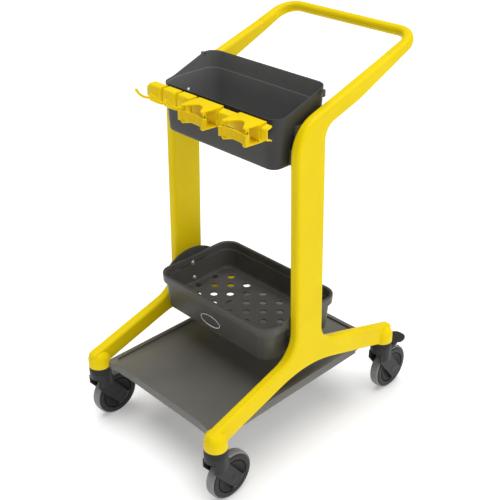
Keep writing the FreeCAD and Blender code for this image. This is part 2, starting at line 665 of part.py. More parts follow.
rail_holes = []
RAIL_SCREWS = (-135.36, 0.96, 142.08)
for k, x in enumerate(RAIL_SCREWS):
    rail_holes.append(prim("Cylinder", "BinRailHole%d" % k, "%.3f" % x, "Dims.rail_back - 10",
                           "(Dims.rail_low + Dims.rail_high)/2", ALONG_Y, Radius="Dims.bolt_radius * 0.8 + 0.25", Height="60"))
bin_cut = cut("BinCut", bin_body, rim_body, side_hole("BinHoleLow", "bin_bolt_low", "Dims.bin_half + 20"),
              side_hole("BinHoleHigh", "bin_bolt_high", "Dims.bin_half + 20"), *rail_holes)
# a small hook moulded on each rear corner for a bag's edge
hook_parts = []
for side in (1, -1):
    s = "" if side > 0 else "-"
    hook_parts.append(prim("Box", "BagHookTop%d" % (side > 0), "%s(Dims.bin_half - %s) %s" % (s, 4.8, "- %s" % 13.44 if side < 0 else "- 0"),
                           "Dims.bin_rear - %s" % 35.52, "Dims.bin_rim_rear - %s" % 7.68, Length="%s" % 13.44, Width="%s" % 8.64, Height="%s" % 3.84))
    hook_parts.append(prim("Box", "BagHookLeg%d" % (side > 0), "%s(Dims.bin_half + %s) %s" % (s, 5.76, "- %s" % 2.88 if side < 0 else "- 0"),
                           "Dims.bin_rear - %s" % 35.52, "Dims.bin_rim_rear - %s" % 21.12, Length="%s" % 2.88, Width="%s" % 8.64, Height="%s" % 17.28))
bin_all = fuse("BinAll", bin_cut, *hook_parts)
doc.recompute()
keep(bin_all, "upper_bin")

# spacer brackets between the bin's side walls and the uprights
for side, label in ((1, "right_bin_bracket"), (-1, "left_bin_bracket")):
    wedge = body("BinBracketBody%d" % (side > 0))
    sk = sketch(wedge, "BracketEnd", "XZ_Plane")
    za, zb = d("bin_bolt_low") - 21.12, d("bin_bolt_high") + 17.28

    def wall_x(z, t=0.0):
        return d("bin_half") - tp * (d("bin_high") - z) / (d("bin_high") - d("bin_low")) + t
    pts = [(side * (wall_x(za) + 0.15), za), (side * (inner_face(za) - 0.05), za),
           (side * (inner_face(zb) - 0.05), zb), (side * (wall_x(zb) + 0.15), zb)]
    polygon(sk, pts)
    pad(wedge, sk, "BracketPad", "%s" % 53.76, both=True)
    wedge.Placement = Placement(Vector(0, d("bolt_y") - 8.64, 0), Rotation())
    relief = prim("Box", "BracketRelief%d" % (side > 0), "-Dims.stem_x", "Dims.bolt_y - %s" % 76.8, "Dims.bin_bolt_low + %s" % 17.28,
                  Length="2*Dims.stem_x", Width="%s" % 53.76, Height="%s" % 96)
    holed = cut("BinBracketCut%d" % (side > 0), wedge, relief,
                side_hole("BkLow%d" % (side > 0), "bin_bolt_low", "Dims.stem_x"),
                side_hole("BkHigh%d" % (side > 0), "bin_bolt_high", "Dims.stem_x"))
    keep(holed, label)


def through_bolts(label, levels, wall_inner, head_clear):
    """Button-head bolts from inside a tray, through its wall, into both side frames."""
    solids = []
    for z in levels:
        zz = d(z)
        for side in (1, -1):
            xi = wall_inner(zz) - head_clear
            xo = inner_face(zz) + d("bolt_depth")
            tag = "%s_%s_%d" % (label, z, side > 0)
            if side > 0:
                shank = rod_x("Shank_" + tag, "%.4f" % (xi - 0.8), "Dims.bolt_y", "Dims." + z, "Dims.bolt_radius", "%.4f" % (xo - xi + 0.8))
                head = rod_x("Head_" + tag, "%.4f - Dims.bolt_head_thick" % xi, "Dims.bolt_y", "Dims." + z, "Dims.bolt_head", "Dims.bolt_head_thick")
            else:
                shank = rod_x("Shank_" + tag, "%.4f" % -xo, "Dims.bolt_y", "Dims." + z, "Dims.bolt_radius", "%.4f" % (xo - xi + 0.8))
                head = rod_x("Head_" + tag, "%.4f" % -xi, "Dims.bolt_y", "Dims." + z, "Dims.bolt_head", "Dims.bolt_head_thick")
            one = fuse("Bolt_" + tag, shank, head)
            doc.recompute()
            dome = doc.addObject("Part::Fillet", "Dome_" + tag)
            dome.Base = one
            far = min if side > 0 else max
            faces_x = far(v.Point.x for v in one.Shape.Vertexes)
            idx = [i for i, e in enumerate(one.Shape.Edges, start=1)
                   if all(abs(v.Point.x - faces_x) < 1e-4 for v in e.Vertexes) and e.Length > 6.2 * d("bolt_head") * 0.9]
            dome.Edges = [(i, d("bolt_head_thick") * 0.6, d("bolt_head_thick") * 0.6) for i in idx]
            socket = rod_x("Hex_" + tag, "%.4f" % (faces_x - 1 if side > 0 else faces_x - 1.6), "Dims.bolt_y", "Dims." + z,
                           "Dims.bolt_radius * 0.6", "2.6")
            solids.append(cut("Made_" + tag, dome, socket))
    g = group(label + "_group", *solids)
    doc.recompute()
    keep(g, label)


through_bolts("bin_bolts", ("bin_bolt_low", "bin_bolt_high"),
              lambda z: d("bin_half") - tp * (d("bin_high") - z) / (d("bin_high") - d("bin_low")) - wl - 0.25, 0.15)

# ------------------------------------------------------------------ lower basket
bk = body("BasketBody")
b_mid = "(Dims.basket_front + Dims.basket_rear)/2"
b_midv = (d("basket_front") + d("basket_rear")) / 2
bw, bh = 2 * d("basket_half"), d("basket_rear") - d("basket_front")
lo, bt, bwl = d("basket_lip_out"), d("basket_taper"), d("basket_wall")
BW, BH, BR = "2*Dims.basket_half", "(Dims.basket_rear - Dims.basket_front)", "Dims.basket_corner"


def brr(name, z, cut_expr, cut_val, rcut):
    return rr(bk, name, z, "%s - 2*(%s)" % (BW, cut_expr), "%s - 2*(%s)" % (BH, cut_expr), "%s - %.3f" % (BR, rcut),
              bw - 2 * cut_val, bh - 2 * cut_val, d("basket_corner") - rcut, b_midv, b_mid)


q0 = brr("BasketFoot", "Dims.basket_low", "Dims.basket_lip_out + Dims.basket_taper", lo + bt, 8)
q1 = brr("BasketTop", "Dims.basket_rim_z", "Dims.basket_lip_out", lo, 4)
outer = bk.newObject("PartDesign::AdditiveLoft", "BasketOuter")
outer.Profile = q0
outer.Sections = [q1]
outer.Ruled = True
doc.recompute()
lip_lo = brr("LipLow", "Dims.basket_lip_low", "1.2", 1.2, 1.2)
lip_hi = brr("LipHigh", "Dims.basket_rim_z", "0", 0.0, 0)
lip = bk.newObject("PartDesign::AdditiveLoft", "BasketLip")
lip.Profile = lip_lo
lip.Sections = [lip_hi]
lip.Ruled = True
doc.recompute()
top_edges = [i for i, e in enumerate(lip.Shape.Edges, start=1)
             if all(abs(v.Point.z - d("basket_rim_z")) < 1e-4 for v in e.Vertexes)]
lr = bk.newObject("PartDesign::Fillet", "LipRound")
lr.Base = (lip, ["Edge%d" % i for i in top_edges])
lr.Radius = 3.072
doc.recompute()
p0 = brr("InsideLow", "Dims.basket_floor", "Dims.basket_lip_out + Dims.basket_wall + Dims.basket_taper*0.75", lo + bwl + bt * 0.75, 10)
p1 = brr("InsideHigh", "Dims.basket_rim_z", "Dims.basket_lip_out + Dims.basket_wall - 2", lo + bwl - 2, 7)
inner = bk.newObject("PartDesign::SubtractiveLoft", "BasketInner")
inner.Profile = p0
inner.Sections = [p1]
inner.Ruled = True
doc.recompute()
u0 = brr("UnderLow", "Dims.basket_low", "Dims.basket_lip_out + Dims.basket_taper + Dims.basket_wall", lo + bt + bwl, 11)
under_pocket = bk.newObject("PartDesign::Pocket", "BasketUnderside")
under_pocket.Profile = u0
under_pocket.setExpression("Length", "Dims.basket_floor - Dims.basket_low - Dims.basket_wall - 0.6")
under_pocket.Reversed = True
doc.recompute()
# staggered round holes in the floor
hk = sketch(bk, "FloorHoles", "XY_Plane", z="Dims.basket_floor", at=(0, b_midv))
hk.setExpression("AttachmentOffset.Base.y", b_mid)
first = None
pitch = d("basket_pitch")
reach_x = d("basket_half") - lo - bt - bwl - 1.35 * d("basket_hole")
reach_y = bh / 2 - lo - bt - bwl - 1.35 * d("basket_hole")
for a in range(-13, 14):
    for b in range(-9, 10):
        if a % 2 == 0 or b % 2 == 0 or (a + b) % 4 != 0:
            continue
        x, y = a * pitch, b * pitch
        if abs(x) > reach_x or abs(y) > reach_y:
            continue
        if math.hypot(max(abs(x) - (reach_x - 18), 0), max(abs(y) - (reach_y - 18), 0)) > 20:
            continue
        g = hk.addGeometry(Part.Circle(Vector(x, y, 0), Vector(0, 0, 1), d("basket_hole")), False)
        if first is None:
            first = g
            c = hk.addConstraint(Sketcher.Constraint("Radius", g, d("basket_hole")))
            hk.setExpression("Constraints[%d]" % c, "Dims.basket_hole")
        else:
            hk.addConstraint(Sketcher.Constraint("Equal", first, g))
        pin(hk, g, 3, "%d * Dims.basket_pitch" % a, "%d * Dims.basket_pitch" % b, x, y)
before = bk.Tip.Shape.Volume
holes = bk.newObject("PartDesign::Pocket", "FloorHolePocket")
holes.Profile = hk
holes.Length = 11.52
doc.recompute()
assert holes.Shape.Volume < before - 100, "floor holes cut nothing"
# mounting ears: flat half-moon pads that fill the gap to the uprights
ears = []
for side in (1, -1):
    eb = body("EarBody%d" % (side > 0))
    ek = sketch(eb, "EarOutline", "YZ_Plane")
    polygon(ek,
            [(d("ear_y") - d("ear_half") * 0.55, "ear_low"), (d("ear_y") + d("ear_half") * 0.55, "ear_low"),
             (d("ear_y") + d("ear_half") * 0.75, "basket_lip_low"), (d("ear_y") + d("ear_half") * 1.25, "basket_rim_z"),
             (d("ear_y") + d("ear_half") * 0.7, d("ear_high") - 5.76), (d("ear_y"), "ear_high"),
             (d("ear_y") - d("ear_half") * 0.7, d("ear_high") - 5.76), (d("ear_y") - d("ear_half") * 1.25, "basket_rim_z"),
             (d("ear_y") - d("ear_half") * 0.75, "basket_lip_low")])
    pad(eb, ek, "EarPad", "%s" % 38.4, both=True)
    eb.Placement = Placement(Vector(side * (d("basket_half") - 17.28), 0, 0), Rotation())
    ears.append(eb)
# trim the pads to the leaning inner faces of the uprights and keep the basket's inside free
ear_fuse = fuse("EarPads", *ears)
wide = "Dims.basket_half"
space = prim("Box", "EarInside", "-(Dims.basket_half - Dims.basket_lip_out - 3)", "Dims.ear_y - 200", "Dims.ear_low - 20",
             Length="2*(Dims.basket_half - Dims.basket_lip_out - 3)", Width="400", Height="200")
trims = [space]
for side in (1, -1):
    t = prim("Box", "EarTrim%d" % (side > 0), "0", "0", "0", Length="60", Width="400", Height="300")
    t.setExpression("Placement.Base.x", None)
    t.setExpression("Placement.Base.y", None)
    t.setExpression("Placement.Base.z", None)
    x_at = inner_face(0) - 0.05
    if side > 0:
        t.Placement = Placement(Vector(x_at, d("ear_y") - 200, 0), Rotation(Vector(0, 1, 0), -d("lean_angle")))
    else:
        t.Placement = Placement(Vector(-x_at, d("ear_y") + 200, 0),
                                Rotation(Vector(0, 0, 1), 180).multiply(Rotation(Vector(0, 1, 0), -d("lean_angle"))))
    trims.append(t)
ear_ready = cut("EarsTrimmed", ear_fuse, *trims)
basket_all = cut("BasketCut", fuse("BasketWithEars", bk, ear_ready),
                 side_hole("BasketHoleLow", "basket_bolt_low", "Dims.stem_x"),
                 side_hole("BasketHoleHigh", "basket_bolt_high", "Dims.stem_x"))
doc.recompute()
keep(basket_all, "lower_basket")


def basket_inner_x(z):
    f = (z - d("basket_floor")) / (d("basket_rim_z") - d("basket_floor"))
    low = d("basket_half") - (lo + bwl + bt * 0.75)
    high = d("basket_half") - (lo + bwl - 2)
    return low + (high - low) * f - 0.25


through_bolts("basket_bolts", ("basket_bolt_low", "basket_bolt_high"), basket_inner_x, 0.4)

# plain oval plate on the basket's front
plate = doc.addObject("Part::Feature", "Badge")
y_face = d("basket_front") + lo + bt * (d("basket_rim_z") - d("badge_z")) / (d("basket_rim_z") - d("basket_low"))
slope = math.atan2(bt, d("basket_rim_z") - d("basket_low"))
out = Vector(0, -math.cos(slope), -math.sin(slope))
along = Vector(0, math.sin(slope) * -1, math.cos(slope))
middle = Vector(d("badge_x"), y_face, d("badge_z")) + out * 0.12
ell = Part.Ellipse(middle + Vector(d("badge_wide"), 0, 0), middle + along * d("badge_tall"), middle)
shape = Part.Face(Part.Wire([ell.toShape()])).extrude(out * d("badge_thick"))
plate.Shape = shape
keep(plate, "badge_plate")

# ------------------------------------------------------------------ bottom shelf
sb = body("ShelfBody")
sk = sketch(sb, "ShelfPlan", "XY_Plane", z="Dims.shelf_low")
yr_tip = d("wheelbase") - d("shelf_front_tip")
# from the middle out, the edge sweeps gently toward the caster: (x, how far it stands out)
sweep = [(136.32, 0), (151.68, 0.672), (167.04, 2.208), (180.48, 4.8), (192, 8.256), (201.6, 11.904)]
yf_, yr_ = d("shelf_front"), d("shelf_rear")
outline = [(x, yf_ - o) for x, o in sweep] + [(d("shelf_half"), d("shelf_front_tip"))]
outline += [(d("shelf_half"), yr_tip)] + [(x, yr_ + o) for x, o in sweep[::-1]]
polygon(sk, outline + [(-x, y) for x, y in outline[::-1]])
pad(sb, sk, "ShelfPad", "Dims.shelf_high - Dims.shelf_low")
top = [i for i, e in enumerate(sb.Tip.Shape.Edges, start=1)
       if all(abs(v.Point.z - d("shelf_high")) < 1e-4 for v in e.Vertexes)]
last = sb.Tip
fr = sb.newObject("PartDesign::Fillet", "ShelfTopRound")
fr.Base = (last, ["Edge%d" % i for i in top])
fr.Radius = 1.44
doc.recompute()
tray = rr(sb, "TrayPlan", "Dims.shelf_high", "2*(Dims.shelf_half - Dims.shelf_lip)",
          "Dims.shelf_rear - Dims.shelf_front - 2*Dims.shelf_lip", "12",
          2 * (d("shelf_half") - d("shelf_lip")), d("shelf_rear") - d("shelf_front") - 2 * d("shelf_lip"), 12,
          (d("shelf_front") + d("shelf_rear")) / 2, "(Dims.shelf_front + Dims.shelf_rear)/2")
tp_ = sb.newObject("PartDesign::Pocket", "TrayPocket")
tp_.Profile = tray
tp_.setExpression("Length", "Dims.shelf_high - Dims.shelf_floor")
doc.recompute()
hollow_sk = rr(sb, "SkirtInside", "Dims.shelf_low", "2*(Dims.shelf_half - Dims.shelf_skin)",
               "Dims.shelf_rear - Dims.shelf_front - 2*Dims.shelf_skin", "14",
               2 * (d("shelf_half") - d("shelf_skin")), d("shelf_rear") - d("shelf_front") - 2 * d("shelf_skin"), 14,
               (d("shelf_front") + d("shelf_rear")) / 2, "(Dims.shelf_front + Dims.shelf_rear)/2")
hp = sb.newObject("PartDesign::Pocket", "SkirtPocket")
hp.Profile = hollow_sk
hp.setExpression("Length", "Dims.shelf_floor - Dims.shelf_low - Dims.shelf_skin")
hp.Reversed = True
doc.recompute()
shelf_tools = []
for sx in (1, -1):
    for tag, y in (("F", "0"), ("R", "Dims.wheelbase")):
        n = "%s%d" % (tag, sx > 0)
        shelf_tools.append(prim("Cylinder", "SocketGap" + n, ("" if sx > 0 else "-") + "Dims.stem_x", y, "-1",
                                Radius="Dims.shelf_clear", Height="60"))
        shelf_tools.append(prim("Cylinder", "HeadGap" + n, ("" if sx > 0 else "-") + "Dims.stem_x", y, "-40",
                                Radius="Dims.shelf_clear_low", Height="40"))
# the skirt arches up beside each caster
arch_tools = []
for tag, ya in (("F", d("shelf_front_tip") - 5), ("R", d("wheelbase") - d("shelf_front_tip") + 5 - 91.2)):
    for sx in (1, -1):
        ab = body("Arch%s%d" % (tag, sx > 0))
        ak = sketch(ab, "ArchEnd", "XZ_Plane")
        zl = d("shelf_low") - 0.2
        pts = [(sx * 153.6, zl), (sx * 163.2, zl + 0.768), (sx * 174.72, zl + 2.88), (sx * 186.24, zl + 5.568),
               (sx * 197.76, zl + 7.296), (sx * 209.28, zl + 7.872), (sx * 235.2, zl + 8.064), (sx * 235.2, zl - 5), (sx * 153.6, zl - 5)]
        polygon(ak, pts if sx > 0 else pts[::-1])
        pad(ab, ak, "ArchPad", "%s" % 91.2, reverse=True)
        ab.Placement = Placement(Vector(0, ya, 0), Rotation())
        arch_tools.append(ab)
shelf_screw_pos = []
for sx in (1, -1):
    for tag, y0, sy in (("F", 0.0, 1), ("R", d("wheelbase"), -1)):
        ang = math.radians(52)
        shelf_screw_pos.append((sx, y0, sy, ang, tag))
shelf_cut = cut("ShelfCut", sb, *(shelf_tools + arch_tools))
# corner bosses inside the skirt carry the fixing screws
bosses = []
for sx, y0, sy, ang, tag in shelf_screw_pos:
    dirn = Vector(-sx * math.cos(ang), sy * math.sin(ang), 0)
    p = Vector(sx * d("stem_x"), y0, 2.112) + dirn * (d("shelf_clear") - 1)
    o = doc.addObject("Part::Cylinder", "Boss%s%d" % (tag, sx > 0))
    o.Radius = 4.32
    o.Height = 12.96
    o.Placement = Placement(p, Rotation(Vector(0, 0, 1), dirn))
    bosses.append(o)
ring_cut = [prim("Cylinder", "RingGap%s%d" % (t, sx > 0), ("" if sx > 0 else "-") + "Dims.stem_x", y, "-1",
                 Radius="Dims.shelf_clear", Height="60") for sx in (1, -1) for t, y in (("F", "0"), ("R", "Dims.wheelbase"))]
screw_holes = []
shelf_screws = []
for sx, y0, sy, ang, tag in shelf_screw_pos:
    dirn = Vector(-sx * math.cos(ang), sy * math.sin(ang), 0)
    base = Vector(sx * d("stem_x"), y0, 2.112)
    rot = Rotation(Vector(0, 0, 1), dirn)
    h = doc.addObject("Part::Cylinder", "ShelfHole%s%d" % (tag, sx > 0))
    h.Radius = 1.824
    h.Height = 38.4
    h.Placement = Placement(base + dirn * 13.44, rot)
    screw_holes.append(h)
    shank = Part.makeCylinder(1.536, 29.76, base + dirn * 15.36, dirn)
    head = Part.makeCylinder(2.592, 2.304, base + dirn * (44.16), dirn)
    shelf_screws.append(shank.fuse(head).removeSplitter().Solids[0])
shelf_all = cut("ShelfAll", fuse("ShelfWithBosses", shelf_cut, *bosses), *(ring_cut + screw_holes))
doc.recompute()
keep(shelf_all, "bottom_shelf")
node = doc.addObject("Part::Feature", "ShelfScrews")
node.Shape = Part.Compound(shelf_screws)
keep(node, "shelf_screws")

# ------------------------------------------------------------------ tool rail
rb = body("RailBody")
sk = sketch(rb, "RailSection", "YZ_Plane")
f_, b_ = d("rail_front"), d("rail_back")
zl, zh, w_ = d("rail_low"), d("rail_high"), d("rail_wall")
zm_ = (zl + zh) / 2
upper = [(f_, zm_ + 9.12), (f_ + 0.96, zm_ + 12.48), (f_ + 3.84, zm_ + 14.688), (f_ + 10.56, zm_ + 15.84), (b_, zm_ + 18.72),
         (b_, zm_ + 15.456), (f_ + 11.04, zm_ + 12.768), (f_ + 5.28, zm_ + 11.616), (f_ + w_ + 0.48, zm_ + 10.272), (f_ + w_, zm_ + 8.16)]
polygon(sk, upper + [(y, 2 * zm_ - z) for y, z in upper[::-1]])
pad(rb, sk, "RailPad", "Dims.rail_right - Dims.rail_left", both=True)
rb.Placement = Placement(Vector((d("rail_right") + d("rail_left")) / 2, 0, 0), Rotation())
zmid = (zl + zh) / 2
standoffs, rail_bores, rail_screws = [], [], []
wall_y = d("bin_front") + tp * (d("bin_high") - zmid) / (d("bin_high") - d("bin_low"))
for k, x in enumerate(RAIL_SCREWS):
    s_ = prim("Cylinder", "Standoff%d" % k, "%.4f" % x, "Dims.rail_front + Dims.rail_wall - 1", "(Dims.rail_low + Dims.rail_high)/2", ALONG_Y,
              Radius="%s" % 6.72, Height="%.4f" % (wall_y - tp * 6.72 / (d("bin_high") - d("bin_low")) - 0.1 - f_ - w_ + 1))
    standoffs.append(s_)
    rail_bores.append(prim("Cylinder", "RailBore%d" % k, "%.4f" % x, "Dims.rail_front - 5", "(Dims.rail_low + Dims.rail_high)/2", ALONG_Y,
                           Radius="Dims.bolt_radius * 0.8 + 0.25", Height="60"))
    rail_bores.append(prim("Cylinder", "RailSeat%d" % k, "%.4f" % x, "Dims.rail_front - 1", "(Dims.rail_low + Dims.rail_high)/2", ALONG_Y,
                           Radius="%s" % 4.512, Height="%s" % 3.552))
    shank = Part.makeCylinder(d("bolt_radius") * 0.8, wall_y + wl + 2.88 - f_ - 2.304, Vector(x, f_ + 2.304, zmid), Vector(0, 1, 0))
    head = Part.makeCylinder(4.224, 2.016, Vector(x, f_ + 0.288, zmid), Vector(0, 1, 0))
    nut = Part.makeCylinder(4.224, 2.88, Vector(x, wall_y + wl + 0.4, zmid), Vector(0, 1, 0))
    rail_screws.append(shank.fuse(head).fuse(nut).removeSplitter().Solids[0])
rail_all = cut("RailAll", fuse("RailWithStandoffs", rb, *standoffs), *rail_bores)
doc.recompute()
keep(rail_all, "tool_rail")
node = doc.addObject("Part::Feature", "RailScrews")
node.Shape = Part.Compound(rail_screws)
keep(node, "rail_screws")


# ------------------------------------------------------------------ holders that slide on the rail
def carrier(name, x_expr, xv, half, front):
    """C-shaped block that wraps the rail and hooks behind its two flared lips."""
    cb = body(name)
    s = sketch(cb, name + "Section", "YZ_Plane")
    g = d("holder_gap")
    f_, b_, zm_ = d("rail_front"), d("rail_back"), (d("rail_low") + d("rail_high")) / 2
    inner = [(b_ + g, d("holder_high") - zm_ - 6.144), (b_ + g, 19.2), (b_ - 0.096, 19.2), (f_ + 10.464, 16.32), (f_ + 3.552, 15.168),
             (f_ + 0.48, 12.96), (f_ - g, 9.6)]
    pts = [(front, "holder_high"), ("claw_back", "holder_high"), ("claw_back", zm_ + inner[0][1])]
    pts += [(y, zm_ + h) for y, h in inner] + [(y, zm_ - h) for y, h in inner[::-1]]
    polygon(s, pts + [("claw_back", zm_ - inner[0][1]), ("claw_back", "holder_low"), (front, "holder_low")])
    pad(cb, s, name + "Pad", "2*(%s)" % half, both=True)
    cb.setExpression("Placement.Base.x", x_expr)
    cb.Placement = Placement(Vector(xv, 0, 0), Rotation())
    cb.setExpression("Placement.Base.x", x_expr)
    doc.recompute()
    return cb


def block_round(cb, radius):
    """Round the block's front outline."""
    last = cb.Tip
    yf = min(v.Point.y for v in last.Shape.Vertexes)
    front_edges = [i for i, e in enumerate(last.Shape.Edges, start=1) if all(abs(v.Point.y - yf) < 1e-4 for v in e.Vertexes)]
    f = cb.newObject("PartDesign::Fillet", cb.Name + "Round")
    f.Base = (last, ["Edge%d" % i for i in front_edges])
    f.Radius = radius
    doc.recompute()


for k in range(3):
    xe = "Dims.hook_first + %d * Dims.hook_pitch" % k
    xv = d("hook_first") + k * d("hook_pitch")
    blk = carrier("HookBlock%d" % (k + 1), xe, xv, "Dims.hook_width/2", "hook_front")
    block_round(blk, 4.8)
    straight = prim("Cylinder", "HookRod%d" % k, xe, "Dims.hook_front - Dims.hook_straight", "Dims.hook_rod_z", ALONG_Y,
                    Radius="Dims.hook_rod", Height="Dims.hook_straight + 3")
    collar = prim("Cone", "HookCollar%d" % k, xe, "Dims.hook_front - %s" % 8.64, "Dims.hook_rod_z", ALONG_Y,
                  Radius1="Dims.hook_rod", Radius2="Dims.hook_rod + %s" % 3.072, Height="%s" % 9.6)
    # the bend is a quarter-like part of a ring that turns upward
    ring = doc.addObject("Part::Torus", "HookBend%d" % k)
    ring.setExpression("Radius1", "Dims.hook_bend")
    ring.setExpression("Radius2", "Dims.hook_rod")
    ring.Angle3 = 64
    # ring plane is YZ; it starts at the lowest point and runs toward -Y and up
    ring.Placement = Placement(Vector(xv, d("hook_front") - d("hook_straight"), d("hook_rod_z") + d("hook_bend")),
                               Rotation(Vector(0, 0, -1), Vector(0, -1, 0), Vector(-1, 0, 0), "XYZ"))
    ring.setExpression("Placement.Base.x", xe)
    ring.setExpression("Placement.Base.y", "Dims.hook_front - Dims.hook_straight")
    ring.setExpression("Placement.Base.z", "Dims.hook_rod_z + Dims.hook_bend")
    ball = prim("Sphere", "HookTip%d" % k, xe,
                "Dims.hook_front - Dims.hook_straight - Dims.hook_bend * sin(64deg)",
                "Dims.hook_rod_z + Dims.hook_bend - Dims.hook_bend * cos(64deg)", Radius="Dims.hook_rod * 1.12")
    doc.recompute()
    keep(fuse("HookModule%d" % (k + 1), blk, straight, collar, ring, ball), "hook_module_%d" % (k + 1))

for k, xc in enumerate(("grip_one", "grip_two")):
    xe = "Dims." + xc
    xv = d(xc)
    blk = carrier("GripBlock%d" % (k + 1), xe, xv, "Dims.grip_half", d("rail_front") - 2.88)
    plates = []
    yb, yt = d("rail_front") - 0.96, 159.36
    outline = [(-42.24, yb), (-42.24, 197.76), (-38.4, 164.16), (-35.52, yt), (-30.72, yt), (-26.88, 164.16),
               (-20.16, 172.32), (-12.48, 182.88), (-5.76, 187.776), (5.76, 187.776), (12.48, 182.88), (20.16, 172.32),
               (26.88, 164.16), (30.72, yt), (35.52, yt), (38.4, 164.16), (42.24, 197.76), (42.24, yb)]
    for tag, ze in (("Top", "Dims.holder_high - Dims.grip_plate"), ("Low", "Dims.holder_low")):
        pb = body("Grip%s%d" % (tag, k + 1))
        s = sketch(pb, "Grip%sOutline%d" % (tag, k + 1), "XY_Plane", z=ze)
        polygon(s, outline)
        pad(pb, s, "Grip%sPad%d" % (tag, k + 1), "Dims.grip_plate")
        pb.Placement = Placement(Vector(xv, 0, 0), Rotation())
        pb.setExpression("Placement.Base.x", xe)
        plates.append(pb)
    posts = []
    for sx in (-1, 1):
        posts.append(prim("Box", "GripPost%d%d" % (k, sx > 0), "%s + %s" % (xe, 32.64 if sx > 0 else -39.36), "%s" % 162.72,
                          "Dims.holder_low + 2", Length="%s" % 6.72, Width="%s" % 8.64, Height="Dims.holder_high - Dims.holder_low - 4.5"))
    keep(fuse("GripModule%d" % (k + 1), blk, *(plates + posts)), "grip_module_%d" % (k + 1))
    bb = body("Band%d" % (k + 1))
    s = sketch(bb, "BandPlan%d" % (k + 1), "XY_Plane", z="Dims.band_low")
    front, back = [], []
    for j in range(9):
        t = -1 + 2 * j / 8.0
        x = t * d("band_half")
        y = 154.944 + 6.528 * (1 - t * t)
        front.append((x, y))
        back.append((x * 0.985, y + 4.224) if abs(t) < 0.9 else (x, 161.664))
    polygon(s, front + back[::-1])
    pad(bb, s, "BandPad%d" % (k + 1), "Dims.band_high - Dims.band_low")
    moved = fuse("BandMoved%d" % (k + 1), bb, prim("Box", "BandEnd%d" % k, "-Dims.band_half", "%s" % 155.136, "Dims.band_low",
                 Length="2", Width="6", Height="Dims.band_high - Dims.band_low"))
    keep(moved, "grip_band_%d" % (k + 1))
    moved.setExpression("Placement.Base.x", xe)

# ------------------------------------------------------------------ casters
CASTERS = [("front_left", -1, "0", 0.0, False), ("front_right", 1, "0", 0.0, False),
           ("rear_left", -1, "Dims.wheelbase", d("wheelbase"), True), ("rear_right", 1, "Dims.wheelbase", d("wheelbase"), True)]


def at_stem(obj, sx, y_expr):
    """Keep a finished caster piece, moved from the stem axis to its corner."""
    obj.setExpression("Placement.Base.x", ("" if sx > 0 else "-") + "Dims.stem_x")
    obj.setExpression("Placement.Base.y", "%s - Dims.centre_shift" % y_expr)
    obj.setExpression("Placement.Base.z", "Dims.floor_drop")


stems, caps = [], []
for name, sx, ye, yv, brake in CASTERS:
    x = ("" if sx > 0 else "-") + "Dims.stem_x"
    shaft = prim("Cylinder", "Stem_" + name, x, ye, "-Dims.stem_down", Radius="Dims.stem_radius", Height="Dims.stem_up + Dims.stem_down")
    headp = prim("Cylinder", "StemHead_" + name, x, ye, "-Dims.stem_down - Dims.stem_head_thick",
                 Radius="Dims.stem_head_radius", Height="Dims.stem_head_thick")
    stems.append(fuse("StemOne_" + name, shaft, headp))
    disc = prim("Cylinder", "Cap_" + name, x, ye, "-Dims.cap_thick", Radius="Dims.head_radius", Height="Dims.cap_thick")
    hole = prim("Cylinder", "CapHole_" + name, x, ye, "-Dims.cap_thick - 1", Radius="Dims.stem_radius", Height="Dims.cap_thick + 2")
    groove = prim("Torus", "CapGroove_" + name, x, ye, "-Dims.cap_thick/2", Radius1="Dims.head_radius", Radius2="%s" % 1.056)
    caps.append(cut("CapOne_" + name, disc, hole, groove))
keep(group("CasterStems", *stems), "caster_stems")
keep(group("CasterCaps", *caps), "caster_caps")
doc.recompute()

